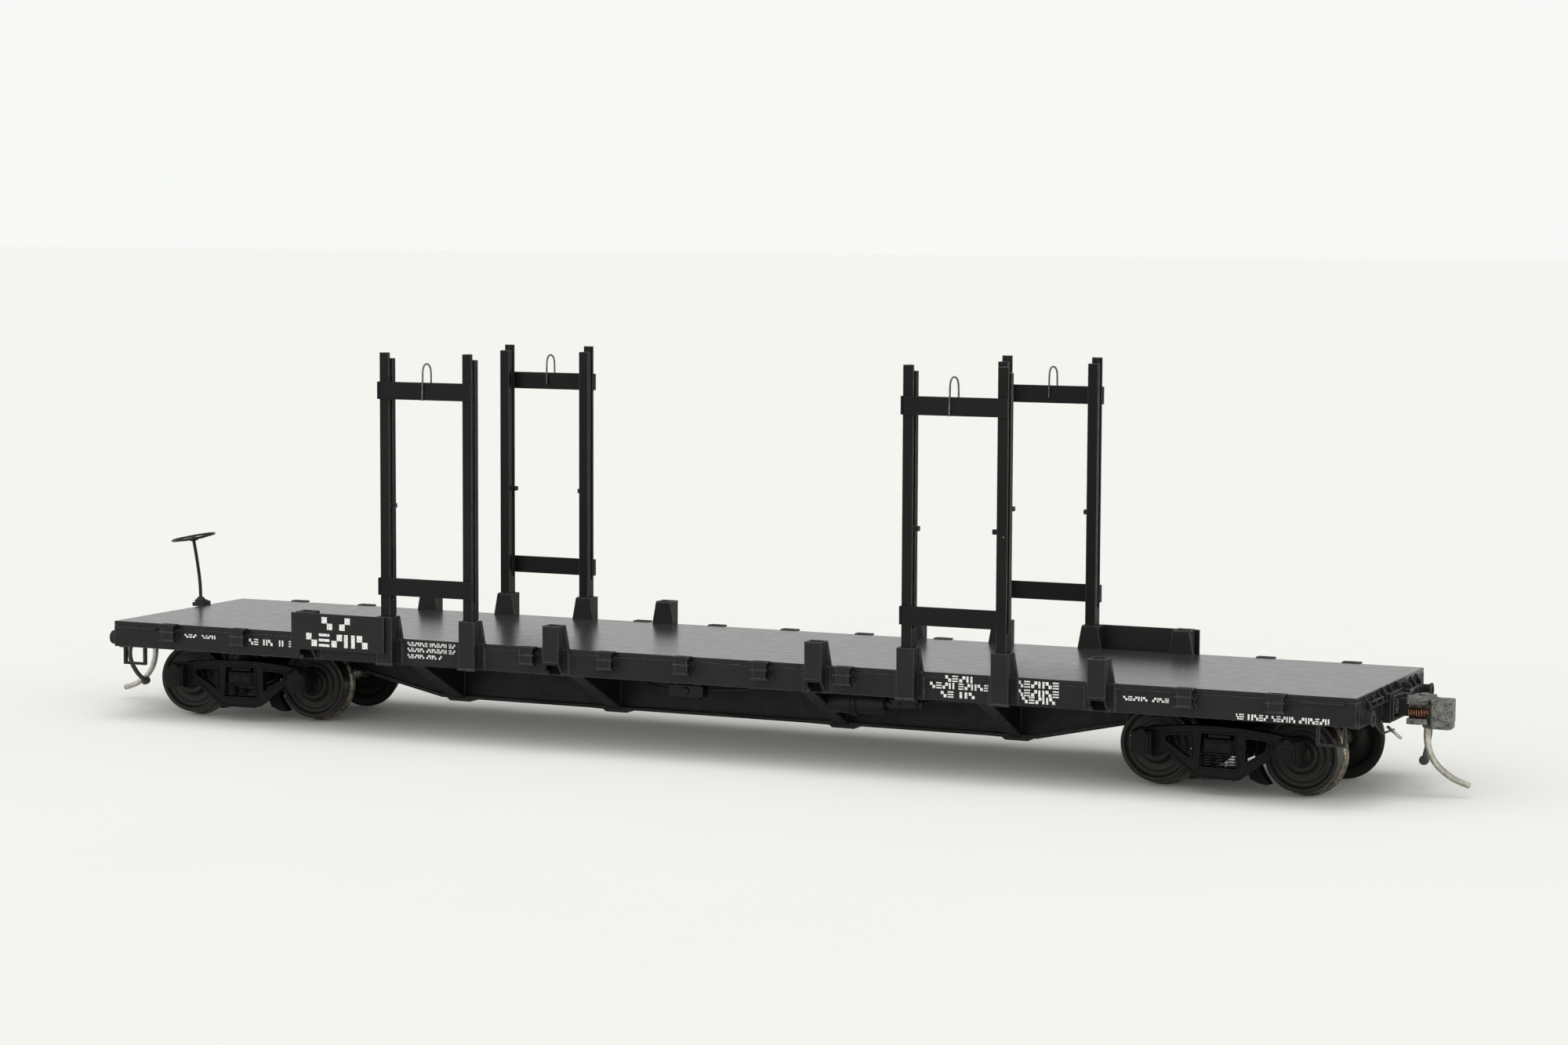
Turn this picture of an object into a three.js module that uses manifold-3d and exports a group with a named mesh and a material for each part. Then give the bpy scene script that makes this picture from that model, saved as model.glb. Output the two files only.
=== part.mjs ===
// A 1:87.1 model of a 52 ft steel flat car for logs: fishbelly underframe, four lift-out stake frames,
// two swivelling four-wheel trucks and sprung knuckle couplers.
// Frame: millimetres, +X along the car, +Z up, origin on the table below the middle of the car.
// The handbrake end is at -X. Apart from the handbrake the car looks the same turned half round about Z.
import * as THREE from "three";
import { mergeVertices } from "three/addons/utils/BufferGeometryUtils.js";
import Module from "manifold-3d";

const wasm = await Module();
wasm.setup();

// Driving dimensions: body
const DECK_HALF_LENGTH = 91;
const DECK_HALF_WIDTH = 16.5;
const DECK_TOP = 13.84;
const DECK_THICKNESS = 0.6;
const DECK_BOTTOM = DECK_TOP - DECK_THICKNESS;
const SILL_BOTTOM = 10.2;
const SILL_THICKNESS = 1.1;
const SILL_INNER = DECK_HALF_WIDTH - SILL_THICKNESS;
const END_SILL_THICKNESS = 1.2;
const END_SILL_INNER = DECK_HALF_LENGTH - END_SILL_THICKNESS;
const LEDGE = { reach: 0.8, halfWidth: 12.6, bottom: 12.0, thickness: 0.25 };
const GUSSET_Y = [12.4, 9.6, 6.6, 3.6];
const GUSSET_HALF_THICKNESS = 0.2;
const STRIKER = { reach: 1.1, halfWidth: 4.3, bottom: 9.3, top: 13.0 };
const POLING_POCKET = { y: 14.4, z: 11.2 };

// Stake pockets and stake frames
const POCKET_X = [19.3, 32.25, 45.2, 58.15];
const STAKE_X = [POCKET_X[1], POCKET_X[2]];
const POCKET_TOP = 16.94;
const POCKET_HALF_WIDTH = 1.22;
const POCKET_OUTER = 18.1;
const POCKET_WALL = 0.35;
const BACK_PLATE_OUTER = 16.1;
const BACK_PLATE_INNER = 15.65;
const POCKET_LIP = 0.15;
const POCKET_LIP_HEIGHT = 0.25;
const POCKET_SLOPE_TOP = 12.1;
const USED_POCKET_FLOOR = 11.2;
const BACK_PLATE_FOOT_HALF = 1.7;
const BACK_PLATE_TOP_HALF = 1.15;
const FLANGE_STRIP_HALF = 2.05;
const FLANGE_STRIP_THICKNESS = 0.22;
const STOCK_POCKET_X = [0, 11.4, 23.3, 69.5, 81.2];
const STOCK_POCKET = { halfWidth: 0.95, outer: 17.75, bottom: 11.6 };
const STOCK_BAND = { halfWidth: 1.22, outer: 17.9, heights: [[13.68, 13.95], [12.72, 12.94], [11.5, 11.74]] };
const STOCK_SLOT = { halfWidth: 0.62, outer: 17.5, inner: 16.8, floor: 12.4 };
const SIGN_BOARD = { left: -59.9, right: -45.0, bottom: 11.85, top: 16.9, thickness: 0.35 };
const SIGN_PAD = { depth: 0.15, bottom: 13.2, top: 16.2, places: [[-58.9, -57.4], [-46.0, -45.1]] };
const STEP = { inner: 86.0, outer: 89.7, drop: 7.65, thickness: 0.35, front: -16.2, back: -15.6 };
const STAKE_HALF_WIDTH = 0.725;
const STAKE_OUTER = 17.7;
const STAKE_INNER = 15.9;
const STAKE_TOP = 53.2;
const STAKE_CLEARANCE = 0.02;
const STAKE_FOOT = 11.5;
const TENON_TOP = 14.2;
const GROOVE = { wall: 0.3, width: 0.65, depth: 0.33, foot: 19.3 };
const PEG = { root: 0.3, tip: 1.45, bottom: 31.95, top: 32.6 };
const BOARD_THICKNESS = 0.45;
const BOARD_HEIGHT = 2.4;
const UPPER_BOARD_BOTTOM = 46.85;
const LOWER_BOARD_BOTTOM = 19.95;

// Underframe
const CENTRE_SILL_HALF_WIDTH = 2.3;
const CENTRE_SILL_BOTTOM = 4.0;
const FLANGE_HALF_WIDTH = 3.1;
const FLANGE_THICKNESS = 0.45;
const CROSSBEARER_X = [17.1, 41.9];
const CROSSBEARER_HALF_WEB = 0.3;
const CROSSBEARER_HALF_FLANGE = 0.95;
const CROSSBEARER_FOOT = 3.6;
const CENTRE_SILL_END = 79.4;
const TOP_PLATE = { halfWidth: 3.5, bottom: 12.8 };
const BODY_BOLSTER = { halfWidth: 2.4, bottom: 9.3, tipBottom: 10.9 };
const CENTRE_PLATE = { radius: 3.2, bottom: 9.0, top: 9.6 };
const BODY_HOLE_GAP = 0.12;

// Trucks
const TRUCK_X = 73.2;
const HALF_WHEELBASE = 9.57;
const FLANGE_RADIUS = 5.45;
const AXLE_Z = FLANGE_RADIUS;
const AXLE_RADIUS = 1.2;
const WHEEL_BACK = 7.25;
const WHEEL_BORE_GAP = 0.03;
const WHEEL_SIDES = 20;
const SIDE_FRAME_INNER = 12.4;
const SIDE_FRAME_OUTER = 13.65;
const BOLSTER_HALF_WIDTH = 2.1;
const JOURNAL_HALF_WIDTH = 1.35;
const JOURNAL_FACE = 15.4;
const KINGPIN_RADIUS = 0.9;
// How far each truck stands turned on its kingpin, in degrees counter-clockwise from above.
const TRUCK_TURN = { left: 6.4, right: -1.95 };

// Couplers and handbrake
const COUPLER_PIVOT_X = 84.6;
const COUPLER_SIDES = 12;
const POST_RADIUS = 0.9;
const EYE_RADIUS = 1.9;
const SHANK = { halfWidth: 1.2, bottom: 10.0, top: 12.05 };
const HEAD = { back: 93.6, front: 96.3, hinge: -2.45, guard: 2.4, bottom: 9.05, top: 12.4 };
const KNUCKLE_BOTTOM = 8.6;
const KNUCKLE_TOP = 12.0;
const TAIL_THICKNESS = 0.35;
const GEAR_BOX = { back: 80.0, front: 92.3, halfWidth: 3.45, bottom: 9.4, top: 12.7 };
const GEAR_CAVITY = { back: 81.2, halfWidth: 2.9, bottom: 9.85, top: 12.2 };
const KNUCKLE_PIVOT = [96.9, -1.75];
const BRAKE_STAFF_FOOT = [-92.1, 6.9, 9.0];
const BRAKE_WHEEL_CENTRE = [-92.8, 6.3, 23.7];
const BRAKE_WHEEL_RADIUS = 3.3;
const BRAKE_WHEEL_AXIS = new THREE.Vector3(-0.158, -0.072, 0.985).normalize();

const BLACK_PLASTIC = { color: 0x1b1c1d, roughness: 0.55, metalness: 0.0 };
const BLACK_METAL = { color: 0x17181a, roughness: 0.45, metalness: 0.4 };
const WIRE = { color: 0x2a2a2a, roughness: 0.4, metalness: 0.7 };
const AXLE_STEEL = { color: 0x77736c, roughness: 0.35, metalness: 0.9 };
const CAST_ZINC = { color: 0x6d6b66, roughness: 0.6, metalness: 0.6 };
const COPPER = { color: 0xa0572f, roughness: 0.35, metalness: 0.9 };

// A manifold-3d solid from any closed three.js geometry.
function solid(geometry) {
  const bare = geometry.clone();
  bare.deleteAttribute("normal");
  bare.deleteAttribute("uv");
  const merged = mergeVertices(bare, 1e-4);
  const index = merged.index.array;
  const kept = [];
  for (let i = 0; i < index.length; i += 3) {
    const [a, b, c] = [index[i], index[i + 1], index[i + 2]];
    if (a !== b && b !== c && a !== c) kept.push(a, b, c);
  }
  const build = (triVerts) =>
    new wasm.Manifold(
      new wasm.Mesh({ numProp: 3, vertProperties: merged.attributes.position.array, triVerts }),
    );
  const made = build(new Uint32Array(kept));
  if (made.volume() > 0) return made;
  for (let i = 0; i < kept.length; i += 3) [kept[i + 1], kept[i + 2]] = [kept[i + 2], kept[i + 1]];
  return build(new Uint32Array(kept));
}

function union(list) {
  return list.reduce((sum, item) => sum.add(item));
}

function cut(body, list) {
  return list.reduce((rest, item) => rest.subtract(item), body);
}

function box(x0, x1, y0, y1, z0, z1) {
  const shape = new THREE.BoxGeometry(x1 - x0, y1 - y0, z1 - z0);
  return solid(shape.translate((x0 + x1) / 2, (y0 + y1) / 2, (z0 + z1) / 2));
}

function extruded(points, depth) {
  const outline = new THREE.Shape(points.map(([u, v]) => new THREE.Vector2(u, v)));
  return new THREE.ExtrudeGeometry(outline, { depth, bevelEnabled: false });
}

// Prisms named by the axis they run along.
function prismX(pointsYZ, x0, x1) {
  const turn = new THREE.Matrix4().makeBasis(
    new THREE.Vector3(0, 1, 0),
    new THREE.Vector3(0, 0, 1),
    new THREE.Vector3(1, 0, 0),
  );
  return solid(extruded(pointsYZ, x1 - x0).applyMatrix4(turn).translate(x0, 0, 0));
}

function prismY(pointsXZ, y0, y1) {
  return solid(extruded(pointsXZ, y1 - y0).rotateX(Math.PI / 2).translate(0, y1, 0));
}

function prismZ(pointsXY, z0, z1) {
  return solid(extruded(pointsXY, z1 - z0).translate(0, 0, z0));
}

// Turned solids: the profile is a list of [radius, distance along the axis].
function turned(profile, sides) {
  return new THREE.LatheGeometry(profile.map(([r, a]) => new THREE.Vector2(r, a)), sides);
}

function turnedY(profile, sides, x, z) {
  return solid(turned(profile, sides).translate(x, 0, z));
}

function turnedZ(profile, sides, x, y) {
  return solid(turned(profile, sides).rotateX(Math.PI / 2).translate(x, y, 0));
}

function turnedX(profile, sides, y, z) {
  return solid(turned(profile, sides).rotateZ(-Math.PI / 2).translate(0, y, z));
}

function cylinderZ(radius, z0, z1, x, y, sides = 16) {
  return turnedZ([[0, z0], [radius, z0], [radius, z1], [0, z1]], sides, x, y);
}

function circle(radius, sides) {
  return Array.from({ length: sides }, (_, i) => {
    const angle = (2 * Math.PI * i) / sides;
    return new THREE.Vector2(radius * Math.cos(angle), radius * Math.sin(angle));
  });
}

// A round bar along a smooth curve through the given points.
function bar(points, radius, sides, steps) {
  const path = new THREE.CatmullRomCurve3(points.map((p) => new THREE.Vector3(...p)));
  const section = new THREE.Shape(circle(radius, sides));
  return solid(new THREE.ExtrudeGeometry(section, { steps, extrudePath: path, bevelEnabled: false }));
}

// A line from -X to +X, from its half on the +X side.
function bothEnds(half) {
  return [...half.map(([x, z]) => [-x, z]).reverse(), ...half];
}

function mesh(name, body, look) {
  const made = body.getMesh();
  const geometry = new THREE.BufferGeometry();
  geometry.setAttribute("position", new THREE.BufferAttribute(new Float32Array(made.vertProperties), 3));
  geometry.setIndex(new THREE.BufferAttribute(new Uint32Array(made.triVerts), 1));
  const flat = geometry.toNonIndexed();
  flat.computeVertexNormals();
  const piece = new THREE.Mesh(flat, new THREE.MeshStandardMaterial(look));
  piece.name = name;
  return piece;
}

// Every shape below faces the front, -Y, or the +X end. Turned half round it serves the back or the -X end.
function halfTurn() {
  const group = new THREE.Group();
  group.rotation.z = Math.PI;
  return group;
}

function deckPlate() {
  const plate = box(
    -DECK_HALF_LENGTH, DECK_HALF_LENGTH, -DECK_HALF_WIDTH, DECK_HALF_WIDTH, DECK_BOTTOM, DECK_TOP);
  const notches = [];
  for (const x of POCKET_X.flatMap((p) => [p, -p])) {
    for (const [y0, y1] of [[-DECK_HALF_WIDTH - 1, -BACK_PLATE_INNER], [BACK_PLATE_INNER, DECK_HALF_WIDTH + 1]]) {
      notches.push(
        box(x - BACK_PLATE_FOOT_HALF, x + BACK_PLATE_FOOT_HALF, y0, y1, DECK_BOTTOM - 1, DECK_TOP + 1));
    }
  }
  return cut(plate, notches);
}

// A tall pocket: a hollow box on the sill's face with a tapered plate behind it that stands above the deck.
// An empty pocket slopes in at the foot and is open through it. A used one is square with a small lip.
function tallPocket(x, used) {
  const [x0, x1] = [x - POCKET_HALF_WIDTH, x + POCKET_HALF_WIDTH];
  const foot = used
    ? box(x0, x1, -POCKET_OUTER, -DECK_HALF_WIDTH, SILL_BOTTOM, DECK_TOP)
    : prismX(
        [
          [-POCKET_OUTER, DECK_TOP],
          [-POCKET_OUTER, POCKET_SLOPE_TOP],
          [-DECK_HALF_WIDTH - POCKET_LIP, SILL_BOTTOM],
          [-DECK_HALF_WIDTH, SILL_BOTTOM],
          [-DECK_HALF_WIDTH, DECK_TOP],
        ],
        x0, x1);
  const lipFace = used ? -POCKET_OUTER - POCKET_LIP : -DECK_HALF_WIDTH - 0.4;
  const lip = box(
    x0 - POCKET_LIP, x1 + POCKET_LIP, lipFace, -DECK_HALF_WIDTH, SILL_BOTTOM, SILL_BOTTOM + POCKET_LIP_HEIGHT);
  const head = box(x0, x1, -POCKET_OUTER, -BACK_PLATE_OUTER, DECK_TOP, POCKET_TOP);
  const plateFoot = box(
    x - BACK_PLATE_FOOT_HALF, x + BACK_PLATE_FOOT_HALF, -DECK_HALF_WIDTH, -BACK_PLATE_INNER,
    DECK_BOTTOM, DECK_TOP);
  const plate = prismY(
    [
      [x - BACK_PLATE_FOOT_HALF, DECK_TOP],
      [x + BACK_PLATE_FOOT_HALF, DECK_TOP],
      [x + BACK_PLATE_TOP_HALF, POCKET_TOP - 0.05],
      [x - BACK_PLATE_TOP_HALF, POCKET_TOP - 0.05],
    ],
    -BACK_PLATE_OUTER, -BACK_PLATE_INNER);
  const flangeStrip = box(
    x - FLANGE_STRIP_HALF, x + FLANGE_STRIP_HALF, -DECK_HALF_WIDTH - FLANGE_STRIP_THICKNESS, -DECK_HALF_WIDTH,
    SILL_BOTTOM, DECK_TOP - 0.1);
  const [s0, s1] = [x0 + POCKET_WALL, x1 - POCKET_WALL];
  const slotOuter = -POCKET_OUTER + POCKET_WALL;
  const slotFloor = used ? USED_POCKET_FLOOR : SILL_BOTTOM - 1;
  const lowSlot = box(s0, s1, slotOuter, -DECK_HALF_WIDTH - 0.02, slotFloor, DECK_TOP + 0.01);
  const highSlot = box(s0, s1, slotOuter, -BACK_PLATE_OUTER, DECK_TOP, POCKET_TOP + 1);
  return cut(union([foot, lip, head, plateFoot, plate, flangeStrip]), [lowSlot, highSlot]);
}

// A small pocket for loose stakes: a narrow box with three bands round it.
function stockPocket(x) {
  const body = box(
    x - STOCK_POCKET.halfWidth, x + STOCK_POCKET.halfWidth, -STOCK_POCKET.outer, -DECK_HALF_WIDTH,
    STOCK_POCKET.bottom, DECK_TOP);
  const bands = STOCK_BAND.heights.map(([z0, z1]) =>
    box(x - STOCK_BAND.halfWidth, x + STOCK_BAND.halfWidth, -STOCK_BAND.outer, -DECK_HALF_WIDTH, z0, z1));
  const slot = box(
    x - STOCK_SLOT.halfWidth, x + STOCK_SLOT.halfWidth, -STOCK_SLOT.outer, -STOCK_SLOT.inner,
    STOCK_SLOT.floor, DECK_TOP + 1);
  return cut(union([body, ...bands]), [slot]);
}

// A U-shaped foot step of flat bar below the sill at one corner.
function cornerStep(side) {
  const { inner, outer, drop, thickness, front, back } = STEP;
  const rail = (a, b, z0, z1) =>
    box(Math.min(side * a, side * b), Math.max(side * a, side * b), front, back, z0, z1);
  return union([
    rail(inner, inner + thickness, drop, SILL_BOTTOM + 0.2),
    rail(outer - thickness, outer, drop, SILL_BOTTOM + 0.2),
    rail(inner, outer, drop, drop + thickness),
  ]);
}

function sideSill() {
  const web = box(
    -DECK_HALF_LENGTH, DECK_HALF_LENGTH, -DECK_HALF_WIDTH, -SILL_INNER, SILL_BOTTOM, DECK_BOTTOM);
  const parts = [web, cornerStep(1), cornerStep(-1)];
  POCKET_X.forEach((x, i) => {
    const used = i === 1 || i === 2;
    parts.push(tallPocket(x, used), tallPocket(-x, used));
  });
  for (const x of new Set(STOCK_POCKET_X.flatMap((p) => [p, -p || 0]))) parts.push(stockPocket(x));
  return union(parts);
}

// The end beam with gussets under the deck's edge, a poling pocket at each corner and a striker round the coupler.
function endSill() {
  const [face, inner] = [DECK_HALF_LENGTH, END_SILL_INNER];
  const beam = box(inner, face, -SILL_INNER, SILL_INNER, 9.9, DECK_BOTTOM);
  const { reach, halfWidth, bottom, thickness } = LEDGE;
  const ledge = box(face, face + reach, -halfWidth, halfWidth, bottom, bottom + thickness);
  const gusset = [[face, bottom + 0.1], [face + reach, bottom + 0.1], [face + reach, 12.6], [face, 13.6]];
  const gussets = GUSSET_Y.flatMap((y) => [y, -y])
    .map((y) => prismY(gusset, y - GUSSET_HALF_THICKNESS, y + GUSSET_HALF_THICKNESS));
  const backing = box(face - 0.4, face, -halfWidth, halfWidth, bottom, DECK_BOTTOM);
  const striker = box(
    face, face + STRIKER.reach, -STRIKER.halfWidth, STRIKER.halfWidth, STRIKER.bottom, STRIKER.top);
  const pockets = [-POLING_POCKET.y, POLING_POCKET.y].map((y) =>
    turnedX([[0, face - 0.1], [0.95, face - 0.1], [0.75, face + 0.6], [0.8, face + 1.3], [1.0, face + 1.5],
      [1.0, face + 1.7], [0.6, face + 1.7], [0.45, face + 1.3], [0, face + 1.3]],
      12, y, POLING_POCKET.z));
  const mouth = box(inner - 1, face + 2, -3.55, 3.55, 8, 12.75);
  return cut(union([beam, ledge, backing, striker, ...gussets, ...pockets]), [mouth]);
}

// The fishbelly's lower edge.
function bellyLine(lift) {
  return bothEnds([[44.8, 0], [60.2, 3.3], [63.5, 5.1], [CENTRE_SILL_END, 5.1]])
    .map(([x, rise]) => [x, CENTRE_SILL_BOTTOM + rise + lift]);
}

// Centre sill with its bottom flange, four crossbearers and two body bolsters.
function underframe() {
  const webTop = [[CENTRE_SILL_END, DECK_BOTTOM], [-CENTRE_SILL_END, DECK_BOTTOM]];
  const web = prismY([...bellyLine(0), ...webTop], -CENTRE_SILL_HALF_WIDTH, CENTRE_SILL_HALF_WIDTH);
  const flange = prismY(
    [...bellyLine(0), ...bellyLine(FLANGE_THICKNESS).reverse()], -FLANGE_HALF_WIDTH, FLANGE_HALF_WIDTH);
  const topPlate = box(
    -END_SILL_INNER, END_SILL_INNER, -TOP_PLATE.halfWidth, TOP_PLATE.halfWidth, TOP_PLATE.bottom, DECK_BOTTOM);
  const parts = [web, flange, topPlate];
  for (const x of CROSSBEARER_X.flatMap((p) => [p, -p])) parts.push(crossbearer(x));
  for (const x of [TRUCK_X, -TRUCK_X]) parts.push(bodyBolster(x));
  const holes = [TRUCK_X, -TRUCK_X].map((x) => cylinderZ(KINGPIN_RADIUS + BODY_HOLE_GAP, 7, 11.5, x, 0));
  return cut(union(parts), holes);
}

function crossbearer(x) {
  const parts = [];
  for (const side of [1, -1]) {
    const slope = [[side * SILL_INNER, SILL_BOTTOM], [side * FLANGE_HALF_WIDTH, CENTRE_SILL_BOTTOM]];
    const slopeTop = slope.map(([y, z]) => [y, z + FLANGE_THICKNESS - 0.05]).reverse();
    const plate = [...slope, [side * 1.5, CENTRE_SILL_BOTTOM], [side * 1.5, DECK_BOTTOM],
      [side * SILL_INNER, DECK_BOTTOM]];
    parts.push(prismX(plate, x - CROSSBEARER_HALF_WEB, x + CROSSBEARER_HALF_WEB));
    parts.push(prismX([...slope, ...slopeTop], x - CROSSBEARER_HALF_FLANGE, x + CROSSBEARER_HALF_FLANGE));
  }
  const footTop = CENTRE_SILL_BOTTOM + 0.1;
  const foot = [[-2.3, footTop], [-1.6, CROSSBEARER_FOOT], [1.6, CROSSBEARER_FOOT], [2.3, footTop]];
  parts.push(prismY(foot.map(([u, z]) => [x + u, z]), -FLANGE_HALF_WIDTH, FLANGE_HALF_WIDTH));
  return union(parts);
}

function bodyBolster(x) {
  const { halfWidth, bottom, tipBottom } = BODY_BOLSTER;
  const outline = [
    [-SILL_INNER, tipBottom], [-TOP_PLATE.halfWidth, bottom], [TOP_PLATE.halfWidth, bottom],
    [SILL_INNER, tipBottom], [SILL_INNER, DECK_BOTTOM], [-SILL_INNER, DECK_BOTTOM],
  ];
  return union([
    prismX(outline, x - halfWidth, x + halfWidth),
    cylinderZ(CENTRE_PLATE.radius, CENTRE_PLATE.bottom, CENTRE_PLATE.top, x, 0),
  ]);
}

// One stake: two prongs joined by a web, open along both flanks as a groove, with a tenon for the pocket.
// Most have a small peg at mid height on one flank: pegSide is 1, -1 or 0 for none.
function stake(x, pegSide) {
  const [x0, x1] = [x - STAKE_HALF_WIDTH, x + STAKE_HALF_WIDTH];
  const [outer, inner] = [-STAKE_OUTER, -STAKE_INNER];
  const shoulder = POCKET_TOP + STAKE_CLEARANCE;
  const shaft = box(x0, x1, outer, inner, shoulder, STAKE_TOP);
  const neck = box(x0, x1, outer, -BACK_PLATE_OUTER - 0.05, TENON_TOP, shoulder);
  const tenon = box(x0, x1, outer, -DECK_HALF_WIDTH - 0.12, STAKE_FOOT, TENON_TOP);
  const [grooveOuter, grooveInner] = [outer + GROOVE.wall, outer + GROOVE.wall + GROOVE.width];
  const cuts = [
    box(x0 - 1, x0 + GROOVE.depth, grooveOuter, grooveInner, GROOVE.foot, STAKE_TOP + 1),
    box(x1 - GROOVE.depth, x1 + 1, grooveOuter, grooveInner, GROOVE.foot, STAKE_TOP + 1),
    box(x0 - 1, x1 + 1, grooveInner, inner + 1, STAKE_TOP - 0.8, STAKE_TOP + 1),
  ];
  const post = cut(union([shaft, neck, tenon]), cuts);
  if (!pegSide) return post;
  const [pegRoot, pegTip] = [x + pegSide * PEG.root, x + pegSide * PEG.tip];
  return post.add(box(
    Math.min(pegRoot, pegTip), Math.max(pegRoot, pegTip), grooveOuter, inner - 0.85, PEG.bottom, PEG.top));
}

function board(bottom) {
  const overhang = STAKE_HALF_WIDTH + 0.08;
  return box(
    STAKE_X[0] - overhang, STAKE_X[1] + overhang, -STAKE_OUTER - BOARD_THICKNESS, -STAKE_OUTER, bottom,
    bottom + BOARD_HEIGHT);
}

// A bent wire that straddles the upper board: one leg down the front, one behind, both clear by a hair.
function wireLoop(offset) {
  const middle = (STAKE_X[0] + STAKE_X[1]) / 2 + offset;
  const radius = 0.13;
  const front = -STAKE_OUTER - BOARD_THICKNESS - radius - 0.01;
  const back = -STAKE_OUTER + radius + 0.05;
  const half = 0.45;
  const [foot, shoulder, crown] = [UPPER_BOARD_BOTTOM - 0.05, 50.9, 51.9];
  const backFoot = UPPER_BOARD_BOTTOM + 0.6;
  const centre = (front + back) / 2;
  const points = [
    [middle - half - 0.15, front, foot],
    [middle - half - 0.05, front, 48.4],
    [middle - half, front, 49.6],
    [middle - half, front + 0.03, shoulder],
    [middle - half * 0.7, centre - 0.2, crown - 0.25],
    [middle, centre, crown],
    [middle + half * 0.7, centre + 0.2, crown - 0.25],
    [middle + half, back - 0.03, shoulder],
    [middle + half, back, 49.6],
    [middle + half, back, backFoot],
  ];
  return bar(points, radius, 6, 20);
}

// A flat board on two pads that stand on the tall pockets' faces.
function signBoard() {
  const back = -POCKET_OUTER - SIGN_PAD.depth;
  const pads = SIGN_PAD.places.map(([x0, x1]) => box(x0, x1, back, -POCKET_OUTER, SIGN_PAD.bottom, SIGN_PAD.top));
  return union([
    box(SIGN_BOARD.left, SIGN_BOARD.right, back - SIGN_BOARD.thickness, back, SIGN_BOARD.bottom, SIGN_BOARD.top),
    ...pads,
  ]);
}

// A wheel, its back face towards the truck's middle: flange, coned tread, dished plate and hub.
function wheel(side) {
  const bore = AXLE_RADIUS + WHEEL_BORE_GAP;
  const profile = [
    [bore, 0.1], [2.2, 0.1], [4.0, 0.7], [4.1, 0.0], [5.15, 0.0], [FLANGE_RADIUS, 0.35], [4.93, 0.95],
    [4.8, 2.8], [4.2, 2.8], [4.0, 2.1], [2.4, 1.95], [2.1, 2.95], [bore, 2.95], [bore, 0.1],
  ];
  return turnedY(profile.map(([r, a]) => [r, side * (WHEEL_BACK + a)]), WHEEL_SIDES, 0, 0);
}

function axle() {
  const half = [[AXLE_RADIUS, 10.3], [0.75, 10.5], [0.75, 11.6], [0, 12.7]];
  const profile = [...half.map(([r, a]) => [r, -a]).reverse(), ...half];
  return turnedY(profile, WHEEL_SIDES, 0, 0);
}

// The truck side frame, front one: arch with two windows and a bolster opening, journal boxes at both ends.
function sideFrame() {
  const [outer, inner] = [-SIDE_FRAME_OUTER, -SIDE_FRAME_INNER];
  const upper = bothEnds([[3.4, 8.8], [7.3, 8.4], [9.2, 8.1], [10.9, 8.0]]).reverse();
  const lower = bothEnds([[2.1, 2.2], [2.9, 2.4], [3.9, 3.1], [5.4, 4.3], [6.8, 5.4], [8.0, 4.8], [10.9, 4.8]]);
  const opening = [[-2.6, 3.55], [2.6, 3.55], [2.3, 8.0], [-2.3, 8.0]];
  const cuts = [prismY(opening, outer - 1, inner + 1)];
  const parts = [prismY([...lower, ...upper], outer, inner)];
  const journal = [
    [outer, 4.65], [-14.8, 4.75], [-15.2, 5.0], [-JOURNAL_FACE, 5.6], [-JOURNAL_FACE, 7.4], [-15.0, 7.9],
    [inner, 7.9], [inner, 4.65],
  ];
  for (const side of [1, -1]) {
    const window = [[3.5, 7.7], [6.6, 7.5], [7.1, 7.2], [7.0, 6.5], [3.75, 4.5], [3.5, 4.7]];
    cuts.push(prismY(window.map(([x, z]) => [side * x, z]), outer - 1, inner + 1));
    const x = side * HALF_WHEELBASE;
    parts.push(prismX(journal, x - JOURNAL_HALF_WIDTH, x + JOURNAL_HALF_WIDTH));
    parts.push(box(x - 0.45, x + 0.45, -JOURNAL_FACE - 0.1, -14.4, 7.4, 8.1));
  }
  const bearings = [1, -1].map((side) =>
    turnedY([[0, -13.0], [1.0, -12.9], [1.0, inner + 1], [0, inner + 1]],
      WHEEL_SIDES, side * HALF_WHEELBASE, AXLE_Z));
  return cut(cut(union(parts), cuts), bearings);
}

// The truck bolster: its ends stand in the side frames, its centre bowl carries the car.
function truckBolster() {
  const half = [[13.4, 5.45], [13.4, 7.15], [11.6, 7.2], [9.5, 7.8]];
  const beam = prismX(
    [...half.map(([y, z]) => [-y, z]).reverse(), [-11.0, 5.3], [11.0, 5.3], ...half],
    -BOLSTER_HALF_WIDTH, BOLSTER_HALF_WIDTH);
  const bowl = cylinderZ(2.9, 7.6, 8.9, 0, 0);
  const hole = cylinderZ(KINGPIN_RADIUS + 0.35, 4, 10, 0, 0);
  return cut(beam.add(bowl), [hole]);
}

function kingpinScrew() {
  const profile = [[0, 4.5], [0.5, 4.5], [1.2, 4.6], [1.7, 4.9], [1.7, 5.25], [KINGPIN_RADIUS, 5.25],
    [KINGPIN_RADIUS, 11.0], [0.4, 11.4], [0, 11.4]];
  const head = turnedZ(profile, 12, 0, 0);
  return cut(head, [box(-2, 2, -0.18, 0.18, 4, 4.85)]);
}

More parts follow.
